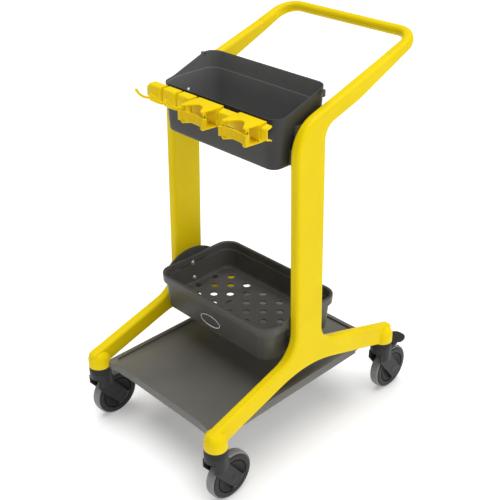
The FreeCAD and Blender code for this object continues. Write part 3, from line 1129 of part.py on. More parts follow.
AXLE = "Dims.trail"
for name, sx, ye, yv, brake in CASTERS:
    # swivel housing: round head, wheel slot, two fork legs, axle bosses
    head = prim("Cylinder", "Head_" + name, z="Dims.head_low", Radius="Dims.head_radius", Height="Dims.head_top - Dims.head_low")
    legs = []
    for s_ in (1, -1):
        lb = body("Leg_%s_%d" % (name, s_ > 0))
        lk = sketch(lb, "LegSide", "YZ_Plane")
        polygon(lk, [(-24.96, -38.4), (24.96, -38.4), (26.88, -61.44), (55.68, -99.84), (69.12, -119.04), (68.16, -132.48), (59.52, -144),
                     (46.08, -146.88), (38.4, -144), (-3.84, -92.16), (-24.96, -64.32)])
        pad(lb, lk, "LegPad", "Dims.leg_out - Dims.wheel_half - 1", both=True)
        lb.Placement = Placement(Vector(s_ * (d("leg_out") + d("wheel_half") + 1) / 2, 0, 0), Rotation())
        legs.append(lb)
    if brake:
        for s_ in (1, -1):
            legs.append(prim("Box", "Lug_%s_%d" % (name, s_ > 0), "%s" % (19.2 if s_ > 0 else -24.96), "%s" % 17.28, "Dims.pedal_z - %s" % 6.72,
                             Length="%s" % 5.76, Width="Dims.pedal_y + 7 - 18", Height="%s" % 13.44))
    body_ = fuse("HeadAndLegs_" + name, head, *legs)
    doc.recompute()
    tools = [prim("Box", "Slot_" + name, "-Dims.slot_half", "-60", "Dims.head_low - 5", Length="2*Dims.slot_half", Width="120",
                  Height="Dims.slot_top - Dims.head_low + 5"),
             prim("Cylinder", "StemRun_" + name, z="-Dims.stem_down", Radius="Dims.stem_radius + Dims.bore_gap", Height="60"),
             prim("Cylinder", "HeadRun_" + name, z="Dims.slot_top - 1", Radius="Dims.stem_head_radius + 0.35",
                  Height="-Dims.stem_down + 0.35 - Dims.slot_top + 1"),
             rod_x("AxleBore_" + name, "-60", AXLE, "Dims.axle_z", "Dims.axle_radius", "120")]
    if brake:
        tools.append(rod_x("PinBore_" + name, "-60", "Dims.pedal_y", "Dims.pedal_z", "Dims.pedal_pin", "120"))
        tools.append(prim("Box", "PedalRoom_" + name, "-20", "Dims.pedal_y - %s" % 12.96, "Dims.pedal_z - %s" % 11.52, Length="40", Width="60",
                          Height="%s" % 18.72))
    head_groove = prim("Torus", "HeadGroove_" + name, z="Dims.head_top - %s" % 6.72, Radius1="Dims.head_radius", Radius2="%s" % 0.864)
    tools.append(head_groove)
    forkless = cut("ForkCut_" + name, body_, *tools)
    # thin bosses reach from the legs to the hub
    boss = []
    for s_ in (1, -1):
        b0 = rod_x("Boss_%s_%d" % (name, s_ > 0), "Dims.hub_web + 0.6" if s_ > 0 else "-(Dims.wheel_half + 1.4)", AXLE, "Dims.axle_z",
                   "%s" % 10.56, "Dims.wheel_half + 0.8 - Dims.hub_web")
        boss.append(b0)
    bored = cut("Bosses_" + name, fuse("BossPair_" + name, *boss),
                rod_x("AxleBore2_" + name, "-60", AXLE, "Dims.axle_z", "Dims.axle_radius", "120"))
    fork = fuse("Fork_" + name, forkless, bored)
    doc.recompute()
    keep(fork, name + "_caster_fork")
    at_stem(fork, sx, ye)

    axle = cut("Axle_" + name, rod_x("AxleRod_" + name, "-Dims.leg_out + 0.3", AXLE, "Dims.axle_z", "Dims.axle_radius", "2*Dims.leg_out - 0.6"),
               rod_x("AxleCentreA_" + name, "Dims.leg_out - 1.5", AXLE, "Dims.axle_z", "1", "3"),
               rod_x("AxleCentreB_" + name, "-Dims.leg_out - 1.5", AXLE, "Dims.axle_z", "1", "3"))
    keep(axle, name + "_axle")
    at_stem(axle, sx, ye)

    # hub: rim ring, recessed web, boss and bore
    hb = body("Hub_" + name)
    hsk = sketch(hb, "HubHalf", "XY_Plane")
    r0, r1, rm = d("axle_radius") + d("bore_gap"), d("hub_radius"), d("hub_rim")
    polygon(hsk,
            [("hub_half", "hub_radius"), ("-hub_half", "hub_radius"), ("-hub_half", "hub_rim"),
             (-d("hub_web") - 1, rm - 1.44), ("-hub_web", rm - 3.84), ("-hub_web", r0), ("hub_web", r0),
             ("hub_web", rm - 3.84), (d("hub_web") + 1, rm - 1.44), ("hub_half", "hub_rim")])
    rev = hb.newObject("PartDesign::Revolution", "HubTurned")
    rev.Profile = hsk
    rev.ReferenceAxis = (hsk, ["H_Axis"])
    rev.Angle = 360
    doc.recompute()
    hb.Placement = Placement(Vector(0, d("trail"), d("axle_z")), Rotation())
    hub = fuse("HubDone_" + name, hb, rod_x("HubStub_" + name, "-1", AXLE, "Dims.axle_z", "%s" % 19.2, "2"))
    hub = cut("HubBored_" + name, hub, rod_x("HubBore_" + name, "-60", AXLE, "Dims.axle_z", "Dims.axle_radius + Dims.bore_gap", "120"))
    keep(hub, name + "_wheel_hub")
    at_stem(hub, sx, ye)

    # tyre: crowned tread, shoulder and side wall ring
    tb = body("Tyre_" + name)
    tsk = sketch(tb, "TyreHalf", "XY_Plane")
    wr, sr = d("wheel_radius"), d("side_radius")
    polygon(tsk, [("wheel_half", "hub_radius"), ("wheel_half", "side_radius"), (d("tread_half") + 1.536, wr - 3.264),
                  (d("tread_half") - 1.44, wr - 0.96), (5.76, wr - 0.192), (0, "wheel_radius"), (-5.76, wr - 0.192), (-d("tread_half") + 1.44, wr - 0.96),
                  (-d("tread_half") - 1.536, wr - 3.264), ("-wheel_half", "side_radius"), ("-wheel_half", "hub_radius")])
    rev = tb.newObject("PartDesign::Revolution", "TyreTurned")
    rev.Profile = tsk
    rev.ReferenceAxis = (tsk, ["H_Axis"])
    rev.Angle = 360
    doc.recompute()
    tb.Placement = Placement(Vector(0, d("trail"), d("axle_z")), Rotation())
    tyre = fuse("TyreDone_" + name, tb, rod_x("TyreCore_" + name, "-1", AXLE, "Dims.axle_z", "Dims.hub_radius + 3", "2"))
    tyre = cut("TyreBored_" + name, tyre, rod_x("TyreBore_" + name, "-60", AXLE, "Dims.axle_z", "Dims.hub_radius", "120"))
    keep(tyre, name + "_tyre")
    at_stem(tyre, sx, ye)

    if brake:
        # brake pedal: hinge barrel and a broad rounded tongue
        pb = body("Pedal_" + name)
        psk = sketch(pb, "PedalPlan", "XY_Plane", z="Dims.pedal_z - Dims.pedal_thick/2")
        hw, py, pr = d("pedal_half"), d("pedal_y"), d("pedal_reach")
        polygon(psk, [(-15.36, "pedal_y"), (15.36, "pedal_y"), (16.32, py + 11.52), (hw, py + 23.04), (hw, pr - 23.04), (hw * 0.92, pr - 13.44),
                      (hw * 0.72, pr - 5.76), (hw * 0.42, pr - 1.344), (0, "pedal_reach"), (-hw * 0.42, pr - 1.344), (-hw * 0.72, pr - 5.76),
                      (-hw * 0.92, pr - 13.44), (-hw, pr - 23.04), (-hw, py + 23.04), (-16.32, py + 11.52)])
        pad(pb, psk, "PedalPad", "Dims.pedal_thick")
        last = pb.Tip
        outline_edges = [i for i, e in enumerate(last.Shape.Edges, start=1)
                         if len({round(v.Point.z, 3) for v in e.Vertexes}) == 1 and e.Vertexes[0].Point.z > d("pedal_z")]
        pf = pb.newObject("PartDesign::Fillet", "PedalTopRound")
        pf.Base = (last, ["Edge%d" % i for i in outline_edges])
        pf.Radius = 1.728
        doc.recompute()
        barrel = rod_x("Barrel_" + name, "-%s" % 18.24, "Dims.pedal_y", "Dims.pedal_z", "Dims.pedal_barrel", "%s" % 36.48)
        pedal = cut("PedalDone_" + name, fuse("PedalFuse_" + name, pb, barrel),
                    rod_x("PedalBore_" + name, "-60", "Dims.pedal_y", "Dims.pedal_z", "Dims.pedal_pin + Dims.bore_gap", "120"))
        keep(pedal, name + "_brake_pedal")
        at_stem(pedal, sx, ye)
        pin_ = rod_x("PedalPin_" + name, "-%s" % 25.92, "Dims.pedal_y", "Dims.pedal_z", "Dims.pedal_pin", "%s" % 51.84)
        holder = fuse("PedalPinDone_" + name, pin_, rod_x("PedalPinHead_" + name, "%s" % 24.96, "Dims.pedal_y", "Dims.pedal_z", "Dims.pedal_pin + 1.2", "1.6"))
        keep(holder, name + "_pedal_pin")
        at_stem(holder, sx, ye)

# ------------------------------------------------------------------ check and write
doc.recompute()
bad = []
for o in doc.Objects:
    states = set(o.State)
    if states & {"Invalid", "Error"}:
        bad.append("%s %s" % (o.Name, sorted(states)))
for o in NODES:
    s = o.Shape
    if s.isNull() or not s.isValid() or not s.Solids:
        bad.append("%s shape: null=%s solids=%d" % (o.Label, s.isNull(), len(s.Solids) if not s.isNull() else 0))
if bad:
    raise RuntimeError("; ".join(bad))
os.makedirs("parts", exist_ok=True)
labels = set()
for o in NODES:
    assert o.Label not in labels, o.Label
    labels.add(o.Label)
    bb = o.Shape.BoundBox
    print("%-28s solids %2d  vol %10.0f  x %7.1f %7.1f  y %7.1f %7.1f  z %7.1f %7.1f" % (
        o.Label, len(o.Shape.Solids), o.Shape.Volume, bb.XMin, bb.XMax, bb.YMin, bb.YMax, bb.ZMin, bb.ZMax))
    o.Shape.exportStep("parts/%s.step" % o.Label)
print(len(NODES), "sub-parts")
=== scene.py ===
import math
import bpy
import bmesh
from mathutils import Matrix, Vector


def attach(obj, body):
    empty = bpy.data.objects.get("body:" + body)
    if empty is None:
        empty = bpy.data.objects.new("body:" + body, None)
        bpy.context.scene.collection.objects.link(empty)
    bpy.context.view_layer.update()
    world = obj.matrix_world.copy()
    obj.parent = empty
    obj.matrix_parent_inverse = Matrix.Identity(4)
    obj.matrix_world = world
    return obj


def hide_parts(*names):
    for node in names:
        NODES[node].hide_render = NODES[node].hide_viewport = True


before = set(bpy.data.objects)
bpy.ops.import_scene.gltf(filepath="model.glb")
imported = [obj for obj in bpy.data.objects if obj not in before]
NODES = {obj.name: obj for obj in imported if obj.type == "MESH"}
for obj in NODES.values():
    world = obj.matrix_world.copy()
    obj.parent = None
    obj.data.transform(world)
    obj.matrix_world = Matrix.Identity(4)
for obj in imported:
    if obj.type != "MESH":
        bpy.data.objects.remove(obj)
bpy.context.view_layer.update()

K = 0.96e-3                     # one design unit in metres
Y0, Z0 = 383.15, 190.5          # design origin: front stems, underside of the sockets


def W(x, y, z):
    """Design units to the row frame, in metres."""
    return Vector((x * K, (y - Y0) * K, (z + Z0) * K))


# ------------------------------------------------------------------ materials
def new_mat(name):
    m = bpy.data.materials.new(name)
    m.use_nodes = True
    nt = m.node_tree
    for n in list(nt.nodes):
        nt.nodes.remove(n)
    out = nt.nodes.new("ShaderNodeOutputMaterial")
    bsdf = nt.nodes.new("ShaderNodeBsdfPrincipled")
    nt.links.new(bsdf.outputs["BSDF"], out.inputs["Surface"])
    return m, nt, bsdf


def coords(nt):
    return nt.nodes.new("ShaderNodeTexCoord").outputs["Object"]


def noise(nt, vec, scale, detail=3.0, rough=0.5, stretch=None):
    n = nt.nodes.new("ShaderNodeTexNoise")
    n.inputs["Scale"].default_value = scale
    n.inputs["Detail"].default_value = detail
    n.inputs["Roughness"].default_value = rough
    if stretch:
        mp = nt.nodes.new("ShaderNodeMapping")
        mp.inputs["Scale"].default_value = stretch
        nt.links.new(vec, mp.inputs["Vector"])
        vec = mp.outputs["Vector"]
    nt.links.new(vec, n.inputs["Vector"])
    return n.outputs["Fac"]


def ramp(nt, fac, stops):
    r = nt.nodes.new("ShaderNodeValToRGB")
    els = r.color_ramp.elements
    while len(els) > 1:
        els.remove(els[-1])
    els[0].position, els[0].color = stops[0][0], tuple(stops[0][1]) + (1.0,)
    for p, c in stops[1:]:
        e = els.new(p)
        e.color = tuple(c) + (1.0,)
    nt.links.new(fac, r.inputs["Fac"])
    return r.outputs["Color"]


def spread(nt, fac, lo, hi, a=0.3, b=0.7):
    m = nt.nodes.new("ShaderNodeMapRange")
    m.inputs["From Min"].default_value = a
    m.inputs["From Max"].default_value = b
    m.inputs["To Min"].default_value = lo
    m.inputs["To Max"].default_value = hi
    nt.links.new(fac, m.inputs["Value"])
    return m.outputs["Result"]


def mix(nt, fac, a, b, mode="MIX"):
    m = nt.nodes.new("ShaderNodeMix")
    m.data_type = "RGBA"
    m.blend_type = mode
    if isinstance(fac, (int, float)):
        m.inputs[0].default_value = fac
    else:
        nt.links.new(fac, m.inputs[0])
    for i, v in ((6, a), (7, b)):
        if isinstance(v, tuple):
            m.inputs[i].default_value = v + (1.0,)
        else:
            nt.links.new(v, m.inputs[i])
    return m.outputs[2]


def bump(nt, bsdf, layers):
    """layers: (height socket, strength, distance), chained."""
    prev = None
    for h, strength, dist in layers:
        b = nt.nodes.new("ShaderNodeBump")
        b.inputs["Strength"].default_value = strength
        b.inputs["Distance"].default_value = dist
        nt.links.new(h, b.inputs["Height"])
        if prev is not None:
            nt.links.new(prev, b.inputs["Normal"])
        prev = b.outputs["Normal"]
    nt.links.new(prev, bsdf.inputs["Normal"])


# Convexity from Pointiness; the plastics use it to mix a lighter colour along convex edges, a painted highlight.
def painted_edge_highlight_mask(nt, lo, hi):
    g = nt.nodes.new("ShaderNodeNewGeometry")
    return spread(nt, g.outputs["Pointiness"], 0.0, 1.0, lo, hi)


def yellow_plastic(name, base=(0.87, 0.655, 0.002), rough=0.38, grain=1.0):
    m, nt, b = new_mat(name)
    v = coords(nt)
    big = noise(nt, v, 7.0, 4.0, 0.55)
    fine = noise(nt, v, 420.0, 2.0, 0.5)
    peel = noise(nt, v, 150.0, 3.0, 0.6)
    dark = tuple(c * f for c, f in zip(base, (0.955, 0.945, 0.9)))
    lite = tuple(min(1.0, c * f) for c, f in zip(base, (1.035, 1.045, 1.3)))
    col = ramp(nt, big, [(0.3, dark), (0.55, base), (0.8, lite)])
    flow = noise(nt, v, 3.0, 5.0, 0.62, stretch=(1.0, 1.0, 0.28))
    col = mix(nt, spread(nt, flow, 0.0, 0.16, 0.45, 0.75), col, (base[0] * 0.95, base[1] * 0.9, 0.012))
    # painted highlight: convex edges are mixed towards a lighter yellow
    col = mix(nt, spread(nt, painted_edge_highlight_mask(nt, 0.53, 0.60), 0.0, 0.35, 0.0, 1.0), col, (0.92, 0.70, 0.02))
    nt.links.new(col, b.inputs["Base Color"])
    smudge = noise(nt, v, 16.0, 6.0, 0.66)
    nt.links.new(spread(nt, smudge, rough - 0.045, rough + 0.075, 0.3, 0.72), b.inputs["Roughness"])
    b.inputs["Specular IOR Level"].default_value = 0.09
    b.inputs["IOR"].default_value = 1.49
    bump(nt, b, [(peel, 0.05 * grain, 0.0004), (fine, 0.05 * grain, 0.00012)])
    return m


def dark_plastic(name, base=(0.062, 0.061, 0.058), rough=0.42, grain=1.0, spec=0.35):
    m, nt, b = new_mat(name)
    v = coords(nt)
    big = noise(nt, v, 6.0, 4.0, 0.6)
    speck = noise(nt, v, 900.0, 1.0, 0.5)
    col = ramp(nt, big, [(0.28, tuple(c * 0.9 for c in base)), (0.55, base), (0.8, tuple(c * 1.12 for c in base))])
    col = mix(nt, spread(nt, speck, 0.0, 0.22, 0.5, 0.72), col, tuple(c * 1.5 for c in base))
    # painted highlight: convex edges are mixed towards a lighter grey
    col = mix(nt, spread(nt, painted_edge_highlight_mask(nt, 0.53, 0.62), 0.0, 0.5, 0.0, 1.0), col, tuple(c * 1.9 for c in base))
    nt.links.new(col, b.inputs["Base Color"])
    vo = nt.nodes.new("ShaderNodeTexVoronoi")
    vo.inputs["Scale"].default_value = 1100.0
    nt.links.new(v, vo.inputs["Vector"])
    smudge = noise(nt, v, 11.0, 6.0, 0.68)
    nt.links.new(spread(nt, smudge, rough - 0.05, rough + 0.09, 0.3, 0.72), b.inputs["Roughness"])
    b.inputs["Specular IOR Level"].default_value = spec
    bump(nt, b, [(vo.outputs["Distance"], 0.10 * grain, 0.00012), (noise(nt, v, 300.0, 3.0, 0.6), 0.05 * grain, 0.00025)])
    return m


def grey_rubber(name):
    m, nt, b = new_mat(name)
    v = coords(nt)
    big = noise(nt, v, 30.0, 4.0, 0.6)
    dust = noise(nt, v, 90.0, 6.0, 0.7)
    col = ramp(nt, big, [(0.3, (0.205, 0.205, 0.21)), (0.6, (0.235, 0.235, 0.24)), (0.85, (0.265, 0.262, 0.26))])
    col = mix(nt, spread(nt, dust, 0.0, 0.22, 0.52, 0.75), col, (0.13, 0.128, 0.125))
    nt.links.new(col, b.inputs["Base Color"])
    nt.links.new(spread(nt, dust, 0.42, 0.62, 0.3, 0.7), b.inputs["Roughness"])
    b.inputs["Specular IOR Level"].default_value = 0.45
    bump(nt, b, [(dust, 0.08, 0.0004), (noise(nt, v, 700.0, 2.0, 0.5), 0.07, 0.00015)])
    return m


def metal(name, col, rough, aniso=0.0):
    m, nt, b = new_mat(name)
    v = coords(nt)
    n1 = noise(nt, v, 240.0, 5.0, 0.65)
    c = ramp(nt, n1, [(0.3, tuple(x * 0.88 for x in col)), (0.7, col)])
    nt.links.new(c, b.inputs["Base Color"])
    b.inputs["Metallic"].default_value = 1.0
    nt.links.new(spread(nt, n1, rough * 0.8, rough * 1.3, 0.3, 0.7), b.inputs["Roughness"])
    bump(nt, b, [(noise(nt, v, 900.0, 2.0, 0.5), 0.05, 0.0001)])
    return m


YELLOW = yellow_plastic("yellow_moulding")
YELLOW_SMALL = yellow_plastic("yellow_holder", base=(0.87, 0.635, 0.003), rough=0.40, grain=0.7)
BAND = yellow_plastic("yellow_rubber_band", base=(0.78, 0.545, 0.008), rough=0.52, grain=1.4)
DARK = dark_plastic("dark_moulding")
# painted light: lighter copy of the dark moulding for the bin's inside faces
DARK_IN_PAINTED_LIGHT = dark_plastic("dark_moulding_inside_painted_light", base=(0.175, 0.175, 0.173), rough=0.46)
SHELF = dark_plastic("dark_shelf", base=(0.130, 0.127, 0.115), rough=0.36)
# painted light: lighter copy of the tray moulding for the basket's inside walls
TRAY_IN_PAINTED_LIGHT = dark_plastic("dark_tray_inside_painted_light", base=(0.112, 0.110, 0.104), rough=0.38)
DARK_TRAY = dark_plastic("dark_tray", base=(0.070, 0.069, 0.064), rough=0.34)
DARK_CASTER = dark_plastic("dark_caster", base=(0.026, 0.026, 0.026), rough=0.44, grain=0.8, spec=0.22)
DARK_HUB = dark_plastic("dark_hub", base=(0.020, 0.020, 0.0205), rough=0.50, spec=0.18)
# painted shade: near-black and barely reflective, for the swivel head's grooves
GROOVE_SHADE = dark_plastic("painted_groove_shade", base=(0.006, 0.006, 0.006), rough=0.6, spec=0.08)
TREAD = grey_rubber("grey_tread")
CHROME = metal("bolt_steel", (0.78, 0.78, 0.79), 0.34)
ZINC = metal("axle_zinc", (0.50, 0.50, 0.52), 0.30)
PRINT = dark_plastic("grey_print", base=(0.72, 0.72, 0.71), rough=0.38, grain=0.2)


# ------------------------------------------------------------------ mesh helpers
def link(ob):
    bpy.context.scene.collection.objects.link(ob)
    return ob


def finish_mesh(me, angle):
    for p in me.polygons:
        p.use_smooth = True
    me.set_sharp_from_angle(angle=math.radians(angle))
    me.update()


def piece(name, verts, faces, mats, body, nodes=(), slot=None, angle=32, face_mat=None, poly_mat=None):
    me = bpy.data.meshes.new(name)
    me.from_pydata([tuple(v) for v in verts], [], faces)
    me.validate()
    bm = bmesh.new()
    bm.from_mesh(me)
    bmesh.ops.remove_doubles(bm, verts=bm.verts, dist=1e-7)
    bmesh.ops.recalc_face_normals(bm, faces=bm.faces)
    bm.to_mesh(me)
    bm.free()
    for m in (mats if isinstance(mats, (list, tuple)) else [mats]):
        me.materials.append(m)
    if face_mat:
        for p in me.polygons:
            p.material_index = face_mat(p.center)
    if poly_mat:
        for p in me.polygons:
            p.material_index = poly_mat(p)
    finish_mesh(me, angle)
    ob = link(bpy.data.objects.new(name, me))
    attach(ob, body)
    if nodes:
        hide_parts(*nodes)
    return ob


def baked(ob):
    """Apply the object's modifiers to its mesh."""
    dg = bpy.context.evaluated_depsgraph_get()
    bpy.context.view_layer.update()
    dg.update()
    me = bpy.data.meshes.new_from_object(ob.evaluated_get(dg), preserve_all_data_layers=True, depsgraph=dg)
    old = ob.data
    ob.modifiers.clear()
    ob.data = me
    me.name = ob.name
    bpy.data.meshes.remove(old)
    return ob


def bevel(ob, width, segments=3, angle=35):
    b = ob.modifiers.new("edge", "BEVEL")
    b.width = width
    b.segments = segments
    b.limit_method = "ANGLE"
    b.angle_limit = math.radians(angle)
    b.harden_normals = False
    b.use_clamp_overlap = True
    return baked(ob)


def rr_ring(a, b, r, cy, nc=10, nx=14, ny=14):
    """Points of a rounded rectangle, half sizes a and b, counter-clockwise."""
    r = max(0.3, min(r, a - 0.1, b - 0.1))
    pts = []
    corners = [(a - r, -(b - r), -90), (a - r, b - r, 0), (-(a - r), b - r, 90), (-(a - r), -(b - r), 180)]
    for i, (cx, cyy, a0) in enumerate(corners):
        for k in range(nc + 1):
            t = math.radians(a0 + 90.0 * k / nc)
            pts.append((cx + r * math.cos(t), cy + cyy + r * math.sin(t)))
        nx_pt = corners[(i + 1) % 4]
        t = math.radians(nx_pt[2])
        q = (nx_pt[0] + r * math.cos(t), cy + nx_pt[1] + r * math.sin(t))
        p = pts[-1]
        n = ny if i % 2 == 0 else nx
        for k in range(1, n):
            f = k / n
            pts.append((p[0] + (q[0] - p[0]) * f, p[1] + (q[1] - p[1]) * f))
    return pts


def shell(rings):
    """Closed skin through rings of equal length, with a cap at each end."""
    n = len(rings[0])
    verts = [v for ring in rings for v in ring]
    faces = []
    for i in range(len(rings) - 1):
        for k in range(n):
            a, b = i * n + k, i * n + (k + 1) % n
            faces.append((a, b, b + n, a + n))
    faces.append(tuple(range(n))[::-1])
    last = (len(rings) - 1) * n
    faces.append(tuple(range(last, last + n)))
    return verts, faces


def lathe_x(profile, centre, n=96):
    """Closed profile of (x, r) turned about the X axis through centre; all in design units."""
    verts, faces = [], []
    m = len(profile)
    for k in range(n):
        t = 2 * math.pi * k / n
        for x, r in profile:
            verts.append(W(centre[0] + x, centre[1] + r * math.cos(t), centre[2] + r * math.sin(t)))
    for k in range(n):
        k2 = (k + 1) % n
        for i in range(m):
            j = (i + 1) % m
            faces.append((k * m + i, k * m + j, k2 * m + j, k2 * m + i))
    return verts, faces


def prism(points, lo, hi, plane="yz"):
    """Extruded polygon; points in design units."""
    n = len(points)
    verts = []
    for t in (lo, hi):
        for a, b in points:
            verts.append(W(t, a, b) if plane == "yz" else (W(a, b, t) if plane == "xy" else W(a, t, b)))
    faces = [tuple(range(n)), tuple(range(n, 2 * n))[::-1]]
    for k in range(n):
        faces.append((k, (k + 1) % n, n + (k + 1) % n, n + k))
    return verts, faces


def join(parts):
    verts, faces = [], []
    for v, f in parts:
        o = len(verts)
        verts += list(v)
        faces += [tuple(i + o for i in g) for g in f]
    return verts, faces


def tube(path, radii, n=20, cap=True):
    """Round tube through points (metres), with one radius per point."""
    verts, faces = [], []
    m = len(path)
    prev = None
    for i, p in enumerate(path):
        t = (path[min(i + 1, m - 1)] - path[max(i - 1, 0)]).normalized()
        if prev is None:
            ref = Vector((1, 0, 0)) if abs(t.x) < 0.9 else Vector((0, 0, 1))
            u = (ref - t * ref.dot(t)).normalized()
        else:
            u = (prev - t * prev.dot(t)).normalized()
        prev = u
        w = t.cross(u)
        for k in range(n):
            a = 2 * math.pi * k / n
            verts.append(p + (u * math.cos(a) + w * math.sin(a)) * radii[i])
    for i in range(m - 1):
        for k in range(n):
            a, b = i * n + k, i * n + (k + 1) % n
            faces.append((a, b, b + n, a + n))
    if cap:
        faces.append(tuple(range(n))[::-1])
        faces.append(tuple(range((m - 1) * n, m * n)))
    return verts, faces


# ------------------------------------------------------------------ upper bin
BIN_HALF, BIN_F, BIN_R = 213.0, 244.0, 439.5
BIN_MID, BIN_B = (BIN_F + BIN_R) / 2, (BIN_R - BIN_F) / 2


def bin_taper(z):
    return 9.0 * (870.0 - z) / 191.5


def rim_height(y):
    """Low at the front, high at the rear, straight rise between with both bends eased."""
    t = 14.9
    y1, y2, z1, z2 = 285.0, 411.0, 810.0, 856.0
    s = (z2 - z1) / (y2 - y1)
    if y <= y1 - t:
        return z1
    if y < y1 + t:
        u = (y - (y1 - t)) / (2 * t)
        return z1 + s * t * u * u
    if y < y2 - t:
        return z1 + s * (y - y1)
    if y < y2 + t:
        u = (y2 + t - y) / (2 * t)
        return z2 - s * t * u * u
    return z2


def bin_ring(station):
    """station: ('abs', inset beyond taper, z) or ('rim', inset beyond taper, dz) or ('ledge', inset, dz)."""
    kind, ins, z = station
    ring = []
    if kind == "abs":
        total = bin_taper(z) + ins
        for x, y in rr_ring(BIN_HALF - total, BIN_B - total, 40 - 10 * (870 - z) / 191.5 - ins, BIN_MID):
            ring.append(W(x, y, z))
        return ring
    base = rr_ring(BIN_HALF - 2, BIN_B - 2, 38, BIN_MID)
    zs = []
    for x, y in base:
        h = rim_height(y)
        zs.append(h + z if kind == "rim" else min(809.0, h - 6.0) + z)
    for i, zz in enumerate(zs):
        total = bin_taper(zz) + ins
        x, y = rr_ring(BIN_HALF - total, BIN_B - total, 40 - 10 * (870 - zz) / 191.5 - ins, BIN_MID)[i]
        ring.append(W(x, y, zz))
    return ring


bin_stations = [("abs", 14.0, 674.8), ("abs", 9.0, 674.8), ("abs", 6.2, 675.3), ("abs", 3.6, 676.8), ("abs", 1.7, 679.2),
                ("abs", 0.45, 682.4), ("abs", 0.0, 686.3), ("abs", 0.0, 710.0), ("abs", 0.0, 740.0), ("abs", 0.0, 775.0),
                ("rim", 0.0, -8.0), ("rim", 0.0, -1.1), ("rim", 0.2, -0.45), ("rim", 0.6, -0.08), ("rim", 1.1, 0.0),
                ("rim", 1.6, -0.08), ("rim", 2.0, -0.45), ("rim", 2.2, -1.1), ("rim", 2.2, -3.6),
                ("ledge", 2.2, 1.6), ("ledge", 2.4, 0.7), ("ledge", 3.0, 0.2), ("ledge", 3.5, -0.4), ("ledge", 3.8, -1.6),
                ("abs", 3.8, 770.0), ("abs", 3.8, 730.0), ("abs", 3.8, 693.8), ("abs", 4.4, 688.3), ("abs", 6.3, 683.4),
                ("abs", 9.6, 680.2), ("abs", 14.0, 678.8), ("abs", 20.0, 678.5)]
v, f = shell([bin_ring(s) for s in bin_stations])


def bin_side(p):
    """1 on the skin that faces into the bin, 0 outside; the inside takes a lighter copy of the moulding as painted
    light, the outside a darker copy as painted shade.
    """
    dy = p.center.y - (BIN_MID - Y0) * K
    inward = p.center.x * p.normal.x + dy * p.normal.y < 0
    return 1 if inward or (p.normal.z > 0.6 and p.center.z < W(0, 0, 700).z) else 0


# painted shade: darker copy of the dark moulding for the bin's outside faces
BIN_OUT_PAINTED_SHADE = dark_plastic("dark_moulding_outside_painted_shade", base=(0.031, 0.031, 0.031), rough=0.42)
bin_ob = piece("upper_bin_shell", v, f, [BIN_OUT_PAINTED_SHADE, DARK_IN_PAINTED_LIGHT], "cart_body", ["upper_bin"], "dark_moulding", angle=50, poly_mat=bin_side)
hook_parts = []
for side in (1, -1):
    x0, x1 = side * 207.4, side * 222.0
    y0, y1 = 402.8, 411.2
    zt, zb = 852.0, 834.2
    pts = [(x0, zt - 4.2), (x0, zt), (x1 - side * 1.5, zt), (x1, zt - 1.5), (x1, zb), (x1 - side * 3.0, zb), (x1 - side * 3.0, zt - 4.2)]
    hook_parts.append(prism(pts, y0, y1, "xz"))
v, f = join(hook_parts)
bevel(piece("bin_bag_hooks", v, f, DARK, "cart_body", slot="dark_moulding"), 0.0007, 2, 40)

# ------------------------------------------------------------------ lower basket
BK_HALF, BK_F, BK_R = 227.0, 209.0, 501.0
BK_MID, BK_B = (BK_F + BK_R) / 2, (BK_R - BK_F) / 2


def bk_ring(ins, z):
    r = 46.0 - ins if ins < 9.7 else 46.0 - 9.7 * 0.9 - (ins - 9.7) * 0.55
    return [W(x, y, z) for x, y in rr_ring(BK_HALF - ins, BK_B - ins, max(r, 18.0), BK_MID, nc=12, nx=16, ny=12)]


def bk_wall(z):
    return 8.0 + 8.0 * (238.0 - z) / 111.0


bk_stations = [(26.0, 146.8), (22.0, 146.6), (20.6, 145.4), (20.0, 142.0), (19.9, 128.6), (19.4, 127.5), (18.5, 127.0),
               (17.3, 127.2), (16.4, 128.2), (bk_wall(130.5), 130.5), (bk_wall(150), 150), (bk_wall(180), 180), (bk_wall(205), 205),
               (bk_wall(210.6), 210.6), (9.4, 211.7), (8.3, 212.1), (3.0, 212.1), (1.9, 212.4), (1.3, 213.2), (1.15, 214.6),
               (0.6, 225.0), (0.25, 234.0), (0.5, 236.0), (1.25, 237.3), (2.6, 238.0), (4.4, 238.2), (6.4, 238.05), (8.0, 237.4),
               (9.1, 236.2), (9.7, 234.2), (10.1, 226.0), (10.5, 217.0), (10.8, 215.2), (11.6, 213.9), (12.6, 213.2), (13.1, 211.8), (13.3, 209.0),
               (15.2, 180.0), (16.8, 162.0), (17.6, 157.4), (19.2, 154.0), (22.0, 151.8), (26.0, 151.1), (32.0, 151.0)]
v, f = shell([bk_ring(i, z) for i, z in bk_stations])


def basket_side(p):
    """1 on the skin that faces into the basket, 0 outside; the inside walls take a lighter copy of the tray moulding as
    painted light.
    """
    dy = p.center.y - (BK_MID - Y0) * K
    inward = p.center.x * p.normal.x + dy * p.normal.y < 0 and p.center.z > W(0, 0, 152).z and abs(p.normal.z) < 0.5
    return 1 if inward else 0


